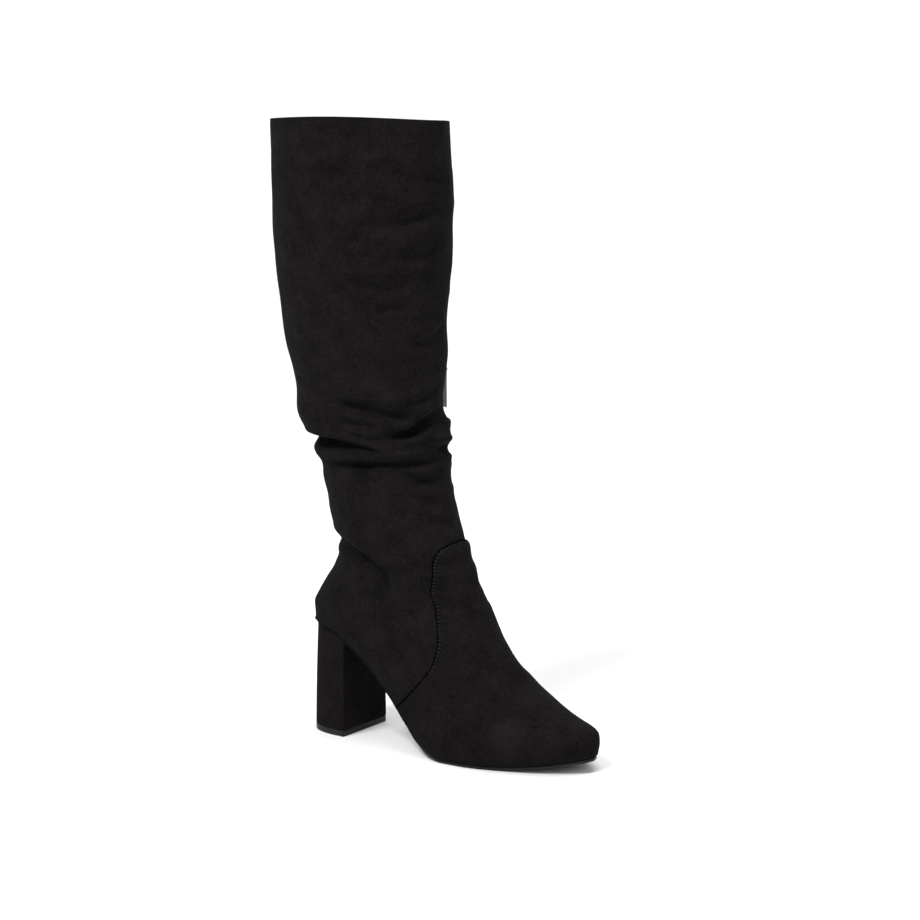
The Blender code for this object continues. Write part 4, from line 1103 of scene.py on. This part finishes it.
# Sole and heel
def make_outsole():
    toe = len(LAST) - 1
    t = np.concatenate([np.linspace(0, 1, 14)[:-1], np.linspace(1, toe - 1, 150)[:-1],
                        np.linspace(toe - 1, toe, 14)])
    thick = SOLE_THICKNESS
    side = ((0.0011, 0.0), (0.0004, 0.00012), (0.0, 0.0006), (0.0, thick - 0.0006),
            (0.0003, thick - 0.0001), (0.0010, thick))
    grids = []
    for inset, lift in side:
        x, z, lateral, medial, mid = sole_line(t, inset, lift)
        grids.append((np.stack([x, mid - lateral, z], -1), np.stack([x, mid + medial, z], -1)))
    low, high = grids[0], grids[-1]
    rings = [lat for lat, _ in grids] + [(high[0] + high[1]) / 2] + [med for _, med in grids[::-1]]
    rings += [(low[0] + low[1]) / 2]
    points = np.stack(rings, 1)
    rows, count = points.shape[:2]
    index = np.arange(rows * count).reshape(rows, count)
    index = np.concatenate([index, index[:, :1]], 1)
    faces = quads(index)
    flat = points.reshape(-1, 3)
    slots = []
    for face in faces:
        columns = {v % count for v in face}
        covered = min(flat[v][0] for v in face) < DARK_EDGE_TO
        slots.append(1 if columns <= {0, count - 1, count - 2} else 2 if covered else 0)
    item = mesh_object("outsole_rubber", flat, faces, [RUBBER, TREAD, COVER], slots)
    item.data.set_sharp_from_angle(angle=math.radians(50))
    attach(item, "boot")
    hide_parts("outsole")


def heel_outline(x):
    share = (LIFT_LENGTH / 2 - x) / LIFT_LENGTH
    return LIFT_WIDTH / 2 * (1 - np.clip(share, 0, 1) ** 3.0) ** (1 / 2.4)


def make_heel():
    count, levels = 37, 30
    share = np.sin(np.linspace(0, math.pi / 2, count))
    seat_x, _, seat_lateral, seat_medial, _ = sole_line(np.linspace(0, 6, 121), HEEL_INSET, 0.0)
    under = sole_line(np.linspace(0, 6, 121), 0.0, 0.0)
    front = LIFT_LENGTH / 2
    base = LIFT_THICKNESS + GAP
    rings = []
    for level in np.linspace(0, 1, levels + 1):
        flare = level ** 1.6
        back = -(LIFT_LENGTH / 2 * (1 - flare) - seat_x[0] * flare)
        low_x = front - LIFT_LENGTH * share
        top_x = front + (seat_x[0] - front) * share
        x = front + (back - front) * share
        low = heel_outline(low_x)
        lateral = low * (1 - flare) + np.interp(top_x, seat_x, seat_lateral) * flare
        medial = low * (1 - flare) + np.interp(top_x, seat_x, seat_medial) * flare
        z = base + (np.interp(x, under[0], under[1]) - GAP - base) * level
        ring = [(x[k], -lateral[k], z[k]) for k in range(count)]
        ring += [(x[k], medial[k], z[k]) for k in range(count - 2, -1, -1)]
        rings.append(ring)
    points = np.array(rings)
    index = np.arange(points.shape[0] * points.shape[1]).reshape(points.shape[:2])
    faces = quads(np.concatenate([index, index[:, :1]], 1))
    for ring, flip in ((index[0], True), (index[-1], False)):
        faces += quads(np.stack([ring[:count], ring[::-1][:count]], 1), flip)
    item = mesh_object("heel_cover", points.reshape(-1, 3), faces, [COVER])
    bevel(item, 0.0009, 4, 40)
    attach(item, "boot")
    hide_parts("heel_block")

    x = front - LIFT_LENGTH * share
    half = heel_outline(x)
    ring = [(x[k], -half[k]) for k in range(count)] + [(x[k], half[k]) for k in range(count - 2, -1, -1)]
    verts, faces = [], []
    add_tube(verts, faces, [[(x, y, z) for x, y in ring] for z in (0.0, LIFT_THICKNESS)], flip=False)
    lift = mesh_object("heel_lift_rubber", verts, faces, [RUBBER])
    bevel(lift, 0.0004, 3, 40)
    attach(lift, "boot")
    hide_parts("heel_lift")


def make_setting():
    size = 4.0
    depth, height, bend = 2.2, 3.0, 0.8
    profile = [(-size, 0.0), (depth - bend, 0.0)]
    profile += [(depth - bend + bend * math.sin(a), bend - bend * math.cos(a))
                for a in np.linspace(0.1, math.pi / 2, 14)]
    profile += [(depth, height)]
    yaw = math.radians(CAMERA_YAW)
    ahead = np.array((math.cos(yaw), math.sin(yaw)))
    side = np.array((ahead[1], -ahead[0]))
    verts = []
    for run, z in profile:
        for w in (-size, size):
            x, y = ahead * run + side * w
            verts.append((x, y, z))
    faces = [[2 * k, 2 * k + 1, 2 * k + 3, 2 * k + 2] for k in range(len(profile) - 1)]
    pale = Look("Pale floor", (0.86, 0.86, 0.86), 0.75, specular=0.2).material
    floor = mesh_object("floor", verts, faces, [pale])

    world = bpy.data.worlds.new("Studio")
    world.use_nodes = True
    world.node_tree.nodes["Background"].inputs["Color"].default_value = (1, 1, 1, 1)
    world.node_tree.nodes["Background"].inputs["Strength"].default_value = WORLD_STRENGTH
    bpy.context.scene.world = world

    for name, place, size, power in LIGHTS:
        light = bpy.data.lights.new(name, "AREA")
        light.size = size
        light.energy = power
        item = bpy.data.objects.new(name, light)
        item.location = place
        aim = Vector(LIGHTS_AIM) - Vector(place)
        item.rotation_euler = aim.to_track_quat("-Z", "Y").to_euler()
        bpy.context.scene.collection.objects.link(item)

    camera = bpy.data.cameras.new("camera")
    camera.lens = CAMERA_LENS
    camera.sensor_width = 36.0
    camera.clip_end = 50.0
    item = bpy.data.objects.new("camera", camera)
    item.location = CAMERA_PLACE
    pitch = math.radians(CAMERA_PITCH)
    forward = Vector((math.cos(pitch) * math.cos(yaw), math.cos(pitch) * math.sin(yaw), math.sin(pitch)))
    item.rotation_euler = forward.to_track_quat("-Z", "Y").to_euler()
    bpy.context.scene.collection.objects.link(item)
    bpy.context.scene.camera = item
    bpy.context.scene.view_settings.view_transform = "Standard"


for slot_index in range(len(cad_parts["insole"].data.materials)):
    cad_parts["insole"].data.materials[slot_index] = LINING
upper_item = make_upper()
vamp_item, vamp_edge = make_vamp()
make_vamp_stitches(vamp_item, vamp_edge, upper_item)
make_collar_stitches(upper_item)
make_zip()
make_slider()
make_outsole()
make_heel()
make_setting()
